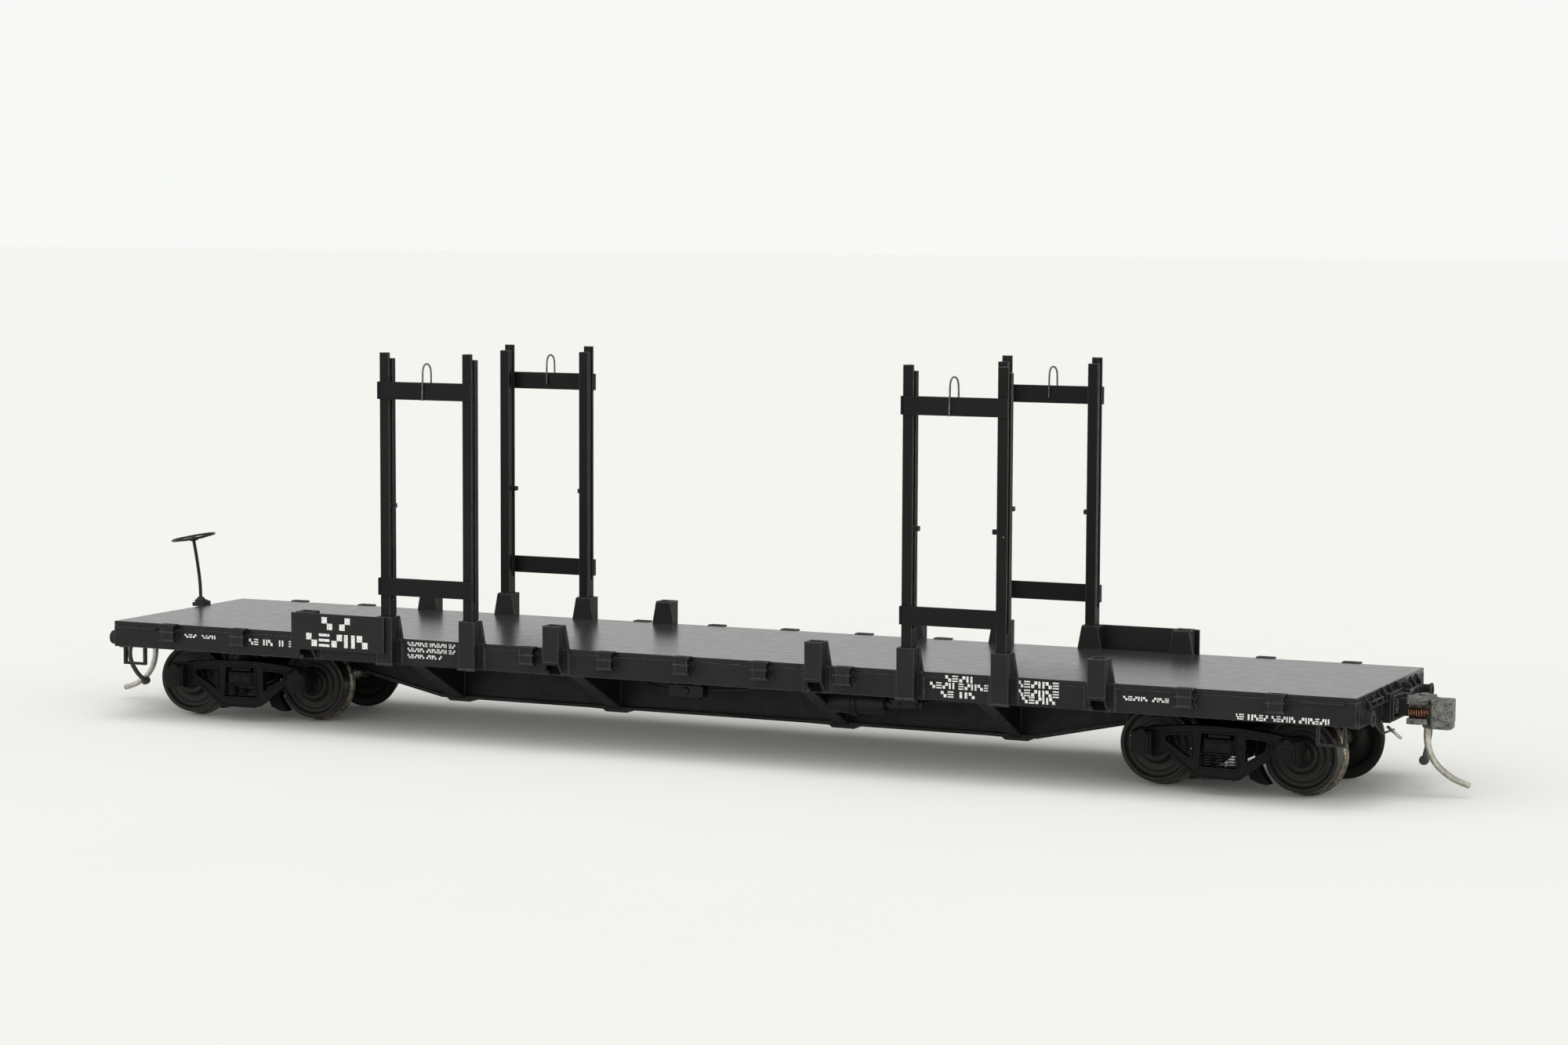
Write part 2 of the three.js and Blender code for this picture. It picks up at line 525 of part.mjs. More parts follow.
function truck(end, group, names) {
  group.position.x = end * TRUCK_X;
  group.rotation.z = THREE.MathUtils.degToRad(TRUCK_TURN[names]);
  for (const [side, place] of [["front", new THREE.Group()], ["back", halfTurn()]]) {
    place.add(mesh(`side_frame_${names}_${side}`, sideFrame(), BLACK_PLASTIC));
    group.add(place);
  }
  group.add(mesh(`truck_bolster_${names}`, truckBolster(), BLACK_PLASTIC));
  group.add(mesh(`kingpin_screw_${names}`, kingpinScrew(), AXLE_STEEL));
  for (const [which, x] of [["a", -HALF_WHEELBASE], ["b", HALF_WHEELBASE]]) {
    const set = new THREE.Group();
    set.position.set(x, 0, AXLE_Z);
    set.add(mesh(`axle_${names}_${which}`, axle(), AXLE_STEEL));
    set.add(mesh(`wheel_${names}_${which}_front`, wheel(-1), BLACK_METAL));
    set.add(mesh(`wheel_${names}_${which}_back`, wheel(1), BLACK_METAL));
    group.add(set);
  }
  return group;
}

// The coupler's draft gear box, closed but for its mouth, with a post for the coupler to swing on.
function draftGearBox() {
  const { back, front, halfWidth, bottom, top } = GEAR_BOX;
  const shell = box(back, front, -halfWidth, halfWidth, bottom, top);
  const cavity = box(
    GEAR_CAVITY.back, front + 1, -GEAR_CAVITY.halfWidth, GEAR_CAVITY.halfWidth, GEAR_CAVITY.bottom,
    GEAR_CAVITY.top);
  const post = cylinderZ(POST_RADIUS, bottom + 0.1, top - 0.2, COUPLER_PIVOT_X, 0, COUPLER_SIDES);
  return cut(shell, [cavity]).add(post);
}

// Shank with its eye on the post, head with upper and lower lugs on the knuckle's side, and guard arm.
function couplerHead() {
  const { back, front, hinge, guard, bottom, top } = HEAD;
  const eye = cylinderZ(EYE_RADIUS, SHANK.bottom, SHANK.top, COUPLER_PIVOT_X, 0, COUPLER_SIDES);
  const shank = box(COUPLER_PIVOT_X + 0.4, back + 0.4, -SHANK.halfWidth, SHANK.halfWidth, SHANK.bottom, SHANK.top);
  const core = box(back, front, -1.05, guard, bottom, top);
  const upper = box(back, front, hinge, guard, 11.55, top);
  const lower = box(back, front, hinge, guard, bottom, bottom + 0.45);
  const arm = prismZ([[front - 0.1, 0.9], [98.3, 2.1], [98.6, 2.8], [front - 0.1, guard]], 9.0, KNUCKLE_TOP);
  const hole = cylinderZ(POST_RADIUS + 0.15, 9, 13, COUPLER_PIVOT_X, 0, COUPLER_SIDES);
  return cut(union([eye, shank, core, upper, lower, arm]), [hole]);
}

// The swinging knuckle: a hooked jaw, with a flat tail below the head that carries the trip pin.
function knuckle() {
  const [px, py] = KNUCKLE_PIVOT;
  const jaw = prismZ(
    [[px - 0.15, py - 0.7], [99.0, py - 0.75], [99.3, -1.9], [99.15, 0.2], [98.5, 0.75], [98.05, 0.2],
      [98.1, -0.9], [px - 0.45, -0.75], [px - 0.45, py - 0.2]],
    KNUCKLE_BOTTOM, KNUCKLE_TOP);
  const tail = prismZ(
    [[95.3, -1.0], [95.6, -1.6], [px, -2.3], [97.8, -2.2], [97.8, -1.2], [96.7, 0.1], [95.6, 0.2]],
    KNUCKLE_BOTTOM, KNUCKLE_BOTTOM + TAIL_THICKNESS);
  return union([jaw, tail]);
}

function tripPin() {
  const points = [[95.9, -0.6, 8.58], [95.9, -0.6, 7.0], [96.3, -0.6, 5.3], [97.3, -0.6, 3.75], [98.9, -0.6, 2.5],
    [100.2, -0.6, 1.9], [101.5, -0.6, 1.5]];
  return bar(points, 0.38, 8, 14);
}

// The knuckle's return spring, as a plain rod of its outside size, beside the head between the two lugs.
function knuckleSpring() {
  return turnedX([[0, 93.65], [0.6, 93.65], [0.6, 96.25], [0, 96.25]], 12, -1.75, 10.4);
}

function coupler(end, group, names) {
  group.add(mesh(`draft_gear_box_${names}`, draftGearBox(), BLACK_PLASTIC));
  group.add(mesh(`coupler_head_${names}`, couplerHead(), CAST_ZINC));
  group.add(mesh(`knuckle_${names}`, knuckle(), CAST_ZINC));
  group.add(mesh(`knuckle_spring_${names}`, knuckleSpring(), COPPER));
  group.add(mesh(`trip_pin_${names}`, tripPin(), CAST_ZINC));
  return group;
}

// The handbrake staff: a foot at the deck's edge, a bearing block on the end sill and a bent rod.
function brakeStaff() {
  const [x, y, foot] = BRAKE_STAFF_FOOT;
  const [tx, ty, tz] = BRAKE_WHEEL_CENTRE;
  const rod = bar(
    [[x, y, foot], [x, y, 12], [x, y, 15.2], [x - 0.1, y - 0.05, 17.5], [(x + tx) / 2, (y + ty) / 2, 20.4],
      [tx, ty, tz - 0.35]],
    0.26, 8, 12);
  const block = box(x - 0.7, -DECK_HALF_LENGTH - 0.02, y - 1.1, y + 1.1, DECK_TOP - 0.19, DECK_TOP + 0.45);
  const ratchet = cylinderZ(0.75, DECK_TOP + 0.4, DECK_TOP + 0.85, x, y, 10);
  const lowBracket = box(x - 0.5, -DECK_HALF_LENGTH - 0.02, y - 0.5, y + 0.5, 10.0, 10.6);
  return union([rod, block, ratchet, lowBracket]);
}

function brakeWheel() {
  const spokes = 5;
  const rim = turned([
    [BRAKE_WHEEL_RADIUS - 0.22, 0], [BRAKE_WHEEL_RADIUS, 0.13], [BRAKE_WHEEL_RADIUS, 0.3],
    [BRAKE_WHEEL_RADIUS - 0.22, 0.43], [BRAKE_WHEEL_RADIUS - 0.42, 0.22], [BRAKE_WHEEL_RADIUS - 0.22, 0],
  ], 24).rotateX(Math.PI / 2);
  const parts = [solid(rim)];
  parts.push(cylinderZ(0.6, -0.3, 0.25, 0, 0, 8));
  for (let i = 0; i < spokes; i += 1) {
    const arm = new THREE.BoxGeometry(BRAKE_WHEEL_RADIUS - 0.5, 0.36, 0.2)
      .translate((BRAKE_WHEEL_RADIUS - 0.5) / 2 + 0.3, 0, 0.1)
      .rotateZ((2 * Math.PI * i) / spokes);
    parts.push(solid(arm));
  }
  return union(parts);
}

// Two stakes joined by two boards. pegs says which flank of each stake has a peg.
function stakeFrame(place, names, shift, pegs, loopOffset) {
  const group = new THREE.Group();
  group.position.x = shift;
  group.add(mesh(`stake_${names}_a`, stake(STAKE_X[0], pegs[0]), BLACK_PLASTIC));
  group.add(mesh(`stake_${names}_b`, stake(STAKE_X[1], pegs[1]), BLACK_PLASTIC));
  group.add(mesh(`upper_board_${names}`, board(UPPER_BOARD_BOTTOM), BLACK_PLASTIC));
  group.add(mesh(`lower_board_${names}`, board(LOWER_BOARD_BOTTOM), BLACK_PLASTIC));
  group.add(mesh(`wire_loop_${names}`, wireLoop(loopOffset), WIRE));
  place.add(group);
}

const car = new THREE.Group();
car.add(mesh("deck_plate", deckPlate(), BLACK_PLASTIC));
car.add(mesh("underframe", underframe(), BLACK_PLASTIC));

const FRAME_SHIFT = -(STAKE_X[0] + STAKE_X[1]);
// The front left frame lacks one peg, and its wire loop sits off centre.
const LOOP_OFFSET = 0.45;
for (const [side, place, ends] of [
  ["front", new THREE.Group(), ["right", "left"]],
  ["back", halfTurn(), ["left", "right"]],
]) {
  place.add(mesh(`side_sill_${side}`, sideSill(), BLACK_PLASTIC));
  place.add(mesh(`sign_board_${side}`, signBoard(), BLACK_PLASTIC));
  const plain = side === "back";
  stakeFrame(place, `${side}_${ends[0]}`, 0, [1, -1], 0);
  stakeFrame(place, `${side}_${ends[1]}`, FRAME_SHIFT, [1, plain ? -1 : 0], plain ? 0 : LOOP_OFFSET);
  car.add(place);
}

for (const [name, end, place] of [["right", 1, new THREE.Group()], ["left", -1, halfTurn()]]) {
  place.add(mesh(`end_sill_${name}`, endSill(), BLACK_PLASTIC));
  car.add(coupler(end, place, name));
  car.add(truck(end, new THREE.Group(), name));
}

car.add(mesh("brake_staff", brakeStaff(), BLACK_METAL));
const wheelPlace = new THREE.Group();
wheelPlace.position.set(...BRAKE_WHEEL_CENTRE);
wheelPlace.quaternion.setFromUnitVectors(new THREE.Vector3(0, 0, 1), BRAKE_WHEEL_AXIS);
wheelPlace.add(mesh("brake_wheel", brakeWheel(), BLACK_METAL));
car.add(wheelPlace);

export default car;
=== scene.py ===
import math

import bmesh
import bpy
from mathutils import Matrix, Vector


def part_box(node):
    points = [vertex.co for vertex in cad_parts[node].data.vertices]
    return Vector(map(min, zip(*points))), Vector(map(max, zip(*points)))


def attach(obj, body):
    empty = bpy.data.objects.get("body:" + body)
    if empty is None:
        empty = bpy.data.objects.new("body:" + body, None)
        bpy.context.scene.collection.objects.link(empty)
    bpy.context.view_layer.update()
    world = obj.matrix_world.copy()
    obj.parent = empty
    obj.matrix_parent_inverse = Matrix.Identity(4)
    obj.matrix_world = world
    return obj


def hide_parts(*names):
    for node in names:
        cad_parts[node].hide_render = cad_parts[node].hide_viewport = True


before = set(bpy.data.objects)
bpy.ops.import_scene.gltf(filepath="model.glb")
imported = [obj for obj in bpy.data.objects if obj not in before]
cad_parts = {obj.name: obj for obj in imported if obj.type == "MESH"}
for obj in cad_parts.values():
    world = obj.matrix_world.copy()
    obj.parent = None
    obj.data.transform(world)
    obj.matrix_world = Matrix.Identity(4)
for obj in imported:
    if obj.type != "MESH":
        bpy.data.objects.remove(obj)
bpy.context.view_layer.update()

MM = 0.001

# Camera
CAMERA_PLACE = (202.155, -426.761, 71.709)
CAMERA_AZIMUTH = 24.59
CAMERA_ELEVATION = 5.0
CAMERA_ROLL = 0.26
FOCAL_LENGTH = 79.86

# Body, from the driving dimensions of the CAD part
SILL_FACE = 16.5
DECK_END = 91.0
POCKET_X = (19.3, 32.25, 45.2, 58.15)
SIGN_FACE = 18.6
WEB_FACE = 2.3
TRUCK_X = 73.2
TRUCK_TURN = {"left": 6.4, "right": -1.95}
HALF_WHEELBASE = 9.57
AXLE_Z = 5.45
WHEEL_BACK = 7.25
FRAME_FACE = 13.65
JOURNAL_FACE = 15.4
ENDS = (("left", -1), ("right", 1))
SIDES = (("front", -1), ("back", 1))
AXLES = (("a", -1), ("b", 1))

# How far a plain mark stands out from the plate, and reaches into it
MARK_PROUD = 0.03
MARK_ROOT = 0.1

# Plain marks on the side sill: from x, to x, centre height, mark height, then the marks' widths, negative
# for a gap
SILL_ROWS = (
    (-42.4, -34.8, 13.2, 0.55, [1, 1, 1, 1, 1, 1, -0.5, 1, 1, 1, 1, 1, -0.5, 1, 1]),
    (-42.4, -34.8, 12.4, 0.55, [1, 1, 1, 1, 1, -0.5, 1, 1, 1, 1, 1, 1, -0.5, 1, 1]),
    (-42.4, -36.9, 11.53, 0.55, [1, 1, 1, 1, 1, -0.5, 1, 1, 1, -0.6, 1]),
    (37.2, 41.1, 13.15, 0.8, [1, 1, 1, 1]),
    (35.1, 43.4, 12.2, 0.8, [1, 1, 1, 1, -0.5, 1, 1, 1, 1, 1]),
    (36.6, 41.8, 11.1, 0.8, [1, 1, -0.7, 1.3, 1, -0.4]),
    (47.2, 52.8, 13.05, 0.85, [0.8, 1, 1, 1, 1, 1]),
    (47.2, 52.8, 11.95, 0.85, [0.8, 1, 1, 1, 1, 1]),
    (47.7, 52.3, 11.05, 0.85, [1, 1, 1, 1, 1]),
    (-79.0, -73.7, 12.35, 0.5, [1, 1, 1, -1.1, 1, 0.4, 1, 1]),
    (-68.2, -61.2, 12.1, 0.85, [1, 1, -0.8, 1, 1, -0.3, -0.8, 1, -0.9, 0.5]),
    (61.2, 67.3, 12.1, 0.55, [1, 1, 1, 1, 1, -0.8, 1, 0.5, 1, 1]),
    (75.9, 87.8, 10.72, 0.72, [0.6, 1.2, -0.6, 1.3, 1, 1, 1, -0.6,
                               1, 1, 1, 1, 1, -0.6, 1.3, 1, 1, 1, 1, 1]),
)

# Softened edges
BEVEL_SEGMENTS = 2
BEVEL_ANGLE = 32


class Shape:
    """Simple solids gathered into one mesh, in millimetres in the frame's axes."""

    def __init__(self):
        self.mesh = bmesh.new()

    def add(self, corners, rings):
        made = [self.mesh.verts.new(corner) for corner in corners]
        for ring in rings:
            self.mesh.faces.new([made[i] for i in ring])

    def box(self, low, high):
        (x0, y0, z0), (x1, y1, z1) = low, high
        corners = [(x, y, z) for x in (x0, x1) for y in (y0, y1) for z in (z0, z1)]
        rings = [(0, 1, 3, 2), (4, 6, 7, 5), (0, 4, 5, 1), (2, 3, 7, 6), (0, 2, 6, 4), (1, 5, 7, 3)]
        self.add(corners, rings)

    def prism(self, axis, outline, low, high):
        """An outline in the two other axes, in X, Y, Z order, drawn out along axis (0, 1 or 2)."""
        count = len(outline)
        corners = []
        for level in (low, high):
            for u, v in outline:
                corner = [u, v]
                corner.insert(axis, level)
                corners.append(corner)
        rings = [tuple(range(count)), tuple(range(2 * count - 1, count - 1, -1))]
        rings += [(i, (i + 1) % count, count + (i + 1) % count, count + i) for i in range(count)]
        self.add(corners, rings)

    def turned(self, axis, centre, profile, sides, slots=None):
        """A solid of revolution from (radius, place along axis) points. slots gives each band's material."""
        closed = profile[0][0] > 0
        corners, rings_at = [], []
        for radius, along in profile:
            ring = []
            for i in range(sides if radius > 0 else 1):
                angle = 2 * math.pi * i / sides
                corner = [radius * math.cos(angle), radius * math.sin(angle)]
                corner.insert(axis, along)
                ring.append(len(corners))
                corners.append([c + o for c, o in zip(corner, centre)])
            rings_at.append(ring)
        made = [self.mesh.verts.new(corner) for corner in corners]
        bands = list(zip(rings_at, rings_at[1:]))
        if closed:
            bands.append((rings_at[-1], rings_at[0]))
        for band, (a, b) in enumerate(bands):
            for i in range(sides):
                j = (i + 1) % sides
                ring = [a[i % len(a)], a[j % len(a)], b[j % len(b)], b[i % len(b)]]
                face = self.mesh.faces.new([made[k] for k in dict.fromkeys(ring)])
                face.smooth = True
                face.material_index = slots[band % len(slots)] if slots else 0

    def tube(self, points, radius, sides, steps):
        """A round bar along a smooth curve through the points."""
        path = smooth_path(points, steps)
        self.sweep(path, [radius] * len(path), sides)

    def sweep(self, path, radii, sides, closed=False):
        """A bar of changing radius along a path, with flat ends unless it closes on itself."""
        made = []
        across = None
        for i, place in enumerate(path):
            before = path[i - 1] if closed or i else path[0]
            after = path[(i + 1) % len(path)] if closed or i < len(path) - 1 else path[-1]
            along = (after - before).normalized()
            if across is None:
                across = along.orthogonal().normalized()
            across = (across - along * across.dot(along)).normalized()
            other = along.cross(across)
            ring = []
            for k in range(sides):
                angle = 2 * math.pi * k / sides
                ring.append(self.mesh.verts.new(
                    place + (across * math.cos(angle) + other * math.sin(angle)) * radii[i]))
            made.append(ring)
        pairs = list(zip(made, made[1:])) + ([(made[-1], made[0])] if closed else [])
        for a, b in pairs:
            for k in range(sides):
                face = self.mesh.faces.new([a[k], a[(k + 1) % sides], b[(k + 1) % sides], b[k]])
                face.smooth = True
        if not closed:
            self.mesh.faces.new(made[0][::-1])
            self.mesh.faces.new(made[-1])

    def coil(self, foot, axis, radius, wire, length, turns, sides=8, per_turn=16):
        """A helical spring that starts at foot and runs along axis (0, 1 or 2)."""
        path = []
        for i in range(int(turns * per_turn) + 1):
            angle = 2 * math.pi * i / per_turn
            corner = [radius * math.cos(angle), radius * math.sin(angle)]
            corner.insert(axis, length * i / (turns * per_turn))
            path.append(Vector(foot) + Vector(corner))
        self.sweep(path, [wire] * len(path), sides)

    def rivet(self, place, normal, radius=0.11, height=0.08, sides=7):
        """A low domed head standing on a face."""
        normal = Vector(normal).normalized()
        across = normal.orthogonal().normalized()
        other = normal.cross(across)
        rings = []
        for share, lift in ((1.0, -0.02), (0.75, height * 0.7)):
            rings.append([
                self.mesh.verts.new(
                    Vector(place) + normal * lift
                    + (across * math.cos(2 * math.pi * i / sides)
                       + other * math.sin(2 * math.pi * i / sides)) * radius * share)
                for i in range(sides)])
        top = self.mesh.verts.new(Vector(place) + normal * height)
        low, high = rings
        self.mesh.faces.new(low[::-1])
        for i in range(sides):
            j = (i + 1) % sides
            for face in ([low[i], low[j], high[j], high[i]], [high[i], high[j], top]):
                self.mesh.faces.new(face).smooth = True

    def strip(self, points, half_width, low, high, closed=False):
        """A flat raised band along a line of (x, z) points, between two levels of y."""
        line = [Vector(p) for p in points]
        pairs = list(zip(line, line[1:])) + ([(line[-1], line[0])] if closed else [])
        for a, b in pairs:
            along = (b - a).normalized()
            side = Vector((-along.y, along.x)) * half_width
            a2, b2 = a - along * half_width * 0.5, b + along * half_width * 0.5
            self.prism(1, [a2 - side, b2 - side, b2 + side, a2 + side], low, high)

    def half_turn(self):
        return self.turn(Matrix.Rotation(math.pi, 3, "Z"), (0, 0, 0))

    def shift(self, x=0.0, y=0.0, z=0.0):
        bmesh.ops.translate(self.mesh, verts=self.mesh.verts, vec=(x, y, z))
        return self

    def turn(self, matrix, centre):
        bmesh.ops.rotate(self.mesh, verts=self.mesh.verts, cent=centre, matrix=matrix)
        return self

    def piece(self, name, body, slot, looks, bevel=0.0):
        """Makes the gathered mesh one object that rides on a body."""
        bmesh.ops.recalc_face_normals(self.mesh, faces=self.mesh.faces)
        bmesh.ops.scale(self.mesh, verts=self.mesh.verts, vec=(MM, MM, MM))
        data = bpy.data.meshes.new(name)
        self.mesh.to_mesh(data)
        self.mesh.free()
        made = bpy.data.objects.new(name, data)
        bpy.context.scene.collection.objects.link(made)
        for look in looks:
            data.materials.append(look)
        if bevel:
            bevel_edges(made, bevel)
        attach(made, body)
        return made


def smooth_path(points, steps):
    """Points along a Catmull-Rom curve through the given ones."""
    line = [Vector(p) for p in points]
    last = len(line) - 1
    path = []
    for i in range(last):
        a, b, c, d = (line[min(max(i + k, 0), last)] for k in (-1, 0, 1, 2))
        for step in range(steps):
            t = step / steps
            path.append(0.5 * (
                2 * b + (c - a) * t + (2 * a - 5 * b + 4 * c - d) * t * t + (3 * b - a - 3 * c + d) * t ** 3))
    path.append(line[-1])
    return path


def bevel_edges(made, width, worn_highlight_slot=-1, harden=True):
    """Softens sharp edges, and gives the softened band its own material slot if one is named."""
    bevel = made.modifiers.new("soft edges", "BEVEL")
    bevel.width = width * MM
    bevel.segments = BEVEL_SEGMENTS
    bevel.limit_method = "ANGLE"
    bevel.angle_limit = math.radians(BEVEL_ANGLE)
    bevel.use_clamp_overlap = False
    bevel.harden_normals = harden
    bevel.material = worn_highlight_slot


class Look:
    """A Principled material, with shorthand for its procedural nodes. Texture scales are per metre."""

    def __init__(self, name, roughness, metallic=0.0, gloss=0.5):
        self.material = bpy.data.materials.new(name)
        self.material.use_nodes = True
        self.nodes = self.material.node_tree.nodes
        self.links = self.material.node_tree.links
        self.shader = self.nodes["Principled BSDF"]
        self.shader.inputs["Metallic"].default_value = metallic
        self.shader.inputs["Specular IOR Level"].default_value = gloss
        self.shader.inputs["Roughness"].default_value = roughness
        self.place = self.nodes.new("ShaderNodeTexCoord").outputs["Object"]

    def noise(self, scale, detail=4.0, roughness=0.6, stretch=None):
        node = self.nodes.new("ShaderNodeTexNoise")
        node.inputs["Scale"].default_value = scale
        node.inputs["Detail"].default_value = detail
        node.inputs["Roughness"].default_value = roughness
        self.links.new(self.stretched(stretch), node.inputs["Vector"])
        return node.outputs["Fac"]

    def stretched(self, stretch):
        if not stretch:
            return self.place
        node = self.nodes.new("ShaderNodeMapping")
        node.inputs["Scale"].default_value = stretch
        self.links.new(self.place, node.inputs["Vector"])
        return node.outputs["Vector"]

    def ramp(self, value, low, high, start=0.0, end=1.0):
        node = self.nodes.new("ShaderNodeMapRange")
        node.interpolation_type = "SMOOTHSTEP"
        for name, number in (("From Min", low), ("From Max", high), ("To Min", start), ("To Max", end)):
            node.inputs[name].default_value = number
        self.links.new(value, node.inputs["Value"])
        return node.outputs["Result"]

    def math(self, operation, a, b):
        node = self.nodes.new("ShaderNodeMath")
        node.operation = operation
        for socket, value in zip(node.inputs, (a, b)):
            if isinstance(value, (int, float)):
                socket.default_value = value
            else:
                self.links.new(value, socket)
        return node.outputs["Value"]

    def mix(self, share, a, b):
        node = self.nodes.new("ShaderNodeMix")
        node.data_type = "RGBA"
        self.links.new(share, node.inputs["Factor"])
        for socket, value in ((node.inputs[6], a), (node.inputs[7], b)):
            if isinstance(value, tuple):
                socket.default_value = (*value, 1.0)
            else:
                self.links.new(value, socket)
        return node.outputs[2]

    def specks(self, scale, size, share):
        """1 inside small dots, scattered over that share of the cells."""
        node = self.nodes.new("ShaderNodeTexVoronoi")
        node.inputs["Scale"].default_value = scale
        self.links.new(self.place, node.inputs["Vector"])
        dot = self.math("LESS_THAN", node.outputs["Distance"], size)
        split = self.nodes.new("ShaderNodeSeparateColor")
        self.links.new(node.outputs["Color"], split.inputs["Color"])
        chosen = self.math("LESS_THAN", split.outputs["Red"], share)
        return self.math("MULTIPLY", dot, chosen)

    def upward(self):
        """1 on faces that look up, 0 on the rest."""
        split = self.nodes.new("ShaderNodeSeparateXYZ")
        self.links.new(self.nodes.new("ShaderNodeNewGeometry").outputs["Normal"], split.inputs["Vector"])
        return self.ramp(split.outputs["Z"], 0.55, 0.95)

    def colour(self, socket):
        self.links.new(socket, self.shader.inputs["Base Color"])

    def rough(self, socket):
        self.links.new(socket, self.shader.inputs["Roughness"])

    def bump(self, height, strength, depth_mm):
        node = self.nodes.new("ShaderNodeBump")
        node.inputs["Strength"].default_value = strength
        node.inputs["Distance"].default_value = depth_mm * MM
        self.links.new(height, node.inputs["Height"])
        self.links.new(node.outputs["Normal"], self.shader.inputs["Normal"])
        return self.material


def black_finish(name, tone, roughness, dust=0.25, grain=0.35, gloss=0.4):
    """Matte black model paint: cloudy tone, fine grain, dust on what looks up, a few pale specks."""
    look = Look(name, roughness, gloss=gloss)
    clouds = look.noise(160, 5.0)
    fine = look.noise(5200, 3.0, 0.7)
    deep = tuple(c * 0.72 for c in tone)
    base = look.mix(look.ramp(clouds, 0.35, 0.7), deep, tone)
    pale = tuple(c * 2.2 + 0.006 for c in tone)
    top = look.upward()
    dusty = look.math("MULTIPLY", top, look.ramp(look.noise(900, 6.0, 0.75), 0.35, 0.75, 0.0, dust))
    base = look.mix(dusty, base, pale)
    base = look.mix(look.ramp(fine, 0.62, 0.8, 0.0, 0.35), base, pale)
    base = look.mix(look.specks(420, 0.032, 0.16), base, (0.34, 0.34, 0.33))
    look.colour(base)
    look.rough(look.ramp(look.noise(700, 4.0), 0.3, 0.75, roughness - 0.05, roughness + 0.09))
    return look.bump(fine, grain, 0.02)


def worn_and_highlighted_edge(name, tone, roughness):
    """The thin line along an edge: rubbed paint, lighter than the body as a painted highlight."""
    look = Look(name, roughness, gloss=0.35)
    rub = look.ramp(look.noise(1500, 5.0, 0.7), 0.42, 0.7)
    look.colour(look.mix(rub, tuple(c * 0.6 for c in tone), tuple(min(1.0, c * 1.7) for c in tone)))
    look.rough(look.ramp(rub, 0.0, 1.0, roughness + 0.1, roughness - 0.06))
    return look.bump(look.noise(4000, 3.0), 0.2, 0.015)


def bare_metal(name, dark, light, roughness, grain, scale=3500, metallic=0.9, stretch=None, depth=0.03):
    look = Look(name, roughness, metallic=metallic)
    coarse = look.noise(scale * 0.25, 5.0, 0.65, stretch)
    fine = look.noise(scale, 4.0, 0.75, stretch)
    both = look.math("ADD", look.math("MULTIPLY", coarse, 0.5), look.math("MULTIPLY", fine, 0.5))
    look.colour(look.mix(look.ramp(both, 0.36, 0.64), dark, light))
    look.rough(look.ramp(fine, 0.3, 0.7, roughness - 0.08, roughness + 0.12))
    return look.bump(both, grain, depth)


def deck_paint_and_painted_sheen():
    """The deck's black: paler on top than on the sides, which is a painted sheen, with light and dark specks
    and one dark oval ring.
    """
    look = Look("deck black with painted sheen", 0.5)
    clouds = look.noise(90, 6.0, 0.65)
    fine = look.noise(4200, 4.0, 0.75)
    base = look.mix(look.ramp(clouds, 0.35, 0.68), (0.024, 0.0245, 0.025), (0.027, 0.0275, 0.028))
    base = look.mix(look.ramp(fine, 0.55, 0.75, 0.0, 0.4), base, (0.06, 0.061, 0.062))
    base = look.mix(look.specks(330, 0.05, 0.14), base, (0.42, 0.42, 0.41))
    base = look.mix(look.specks(260, 0.045, 0.12), base, (0.003, 0.003, 0.003))
    ring = look.math("COMPARE", ring_distance(look, (38.2, -15.1), (2.9, 0.62)), 1.0)
    base = look.mix(look.math("MULTIPLY", ring, 0.55), base, (0.004, 0.004, 0.004))
    top = look.upward()
    # Top faces get the paler deck colour while the sides stay dark: a painted sheen
    look.colour(look.mix(top, (0.011, 0.011, 0.0107), base))
    look.links.new(look.ramp(top, 0.0, 1.0, 0.18, 0.8), look.shader.inputs["Specular IOR Level"])
    look.rough(look.ramp(look.noise(500, 5.0), 0.3, 0.7, 0.24, 0.27))
    return look.bump(fine, 0.2, 0.012)


def ring_distance(look, centre, radii):
    """Distance from a point of the deck, scaled so that an oval of those radii lies at 1."""
    split = look.nodes.new("ShaderNodeSeparateXYZ")
    look.links.new(look.place, split.inputs["Vector"])
    terms = []
    for axis, middle, radius in zip("XY", centre, radii):
        offset = look.math("SUBTRACT", split.outputs[axis], middle * MM)
        scaled = look.math("DIVIDE", offset, radius * MM)
        terms.append(look.math("MULTIPLY", scaled, scaled))
    return look.math("SQRT", look.math("ADD", *terms), 0.0)


def marking_paint():
    """White stencil paint, thin and slightly broken where the black grain shows through."""
    look = Look("marking white", 0.55, gloss=0.3)
    thin = look.ramp(look.noise(5200, 4.0, 0.7), 0.36, 0.52)
    look.colour(look.mix(thin, (0.22, 0.22, 0.22), (0.74, 0.75, 0.74)))
    look.rough(look.ramp(thin, 0.0, 1.0, 0.45, 0.62))
    return look.bump(thin, 0.2, 0.01)


BODY = black_finish("body black", (0.011, 0.011, 0.0107), 0.52, gloss=0.18)
SIGN = black_finish("sign black", (0.0095, 0.0095, 0.0092), 0.45, gloss=0.2)
DECK = deck_paint_and_painted_sheen()
TRUCK = black_finish("truck black", (0.0055, 0.0055, 0.0052), 0.5, dust=0.12, gloss=0.1)
STAKE = black_finish("stake black", (0.0058, 0.006, 0.006), 0.42, dust=0.3, grain=0.2, gloss=0.12)
FITTING = black_finish("fitting black", (0.010, 0.010, 0.0105), 0.4, dust=0.15, grain=0.2, gloss=0.25)
WHEEL_FACE = black_finish("wheel black", (0.012, 0.0116, 0.0104), 0.42, dust=0.1, grain=0.25, gloss=0.18)
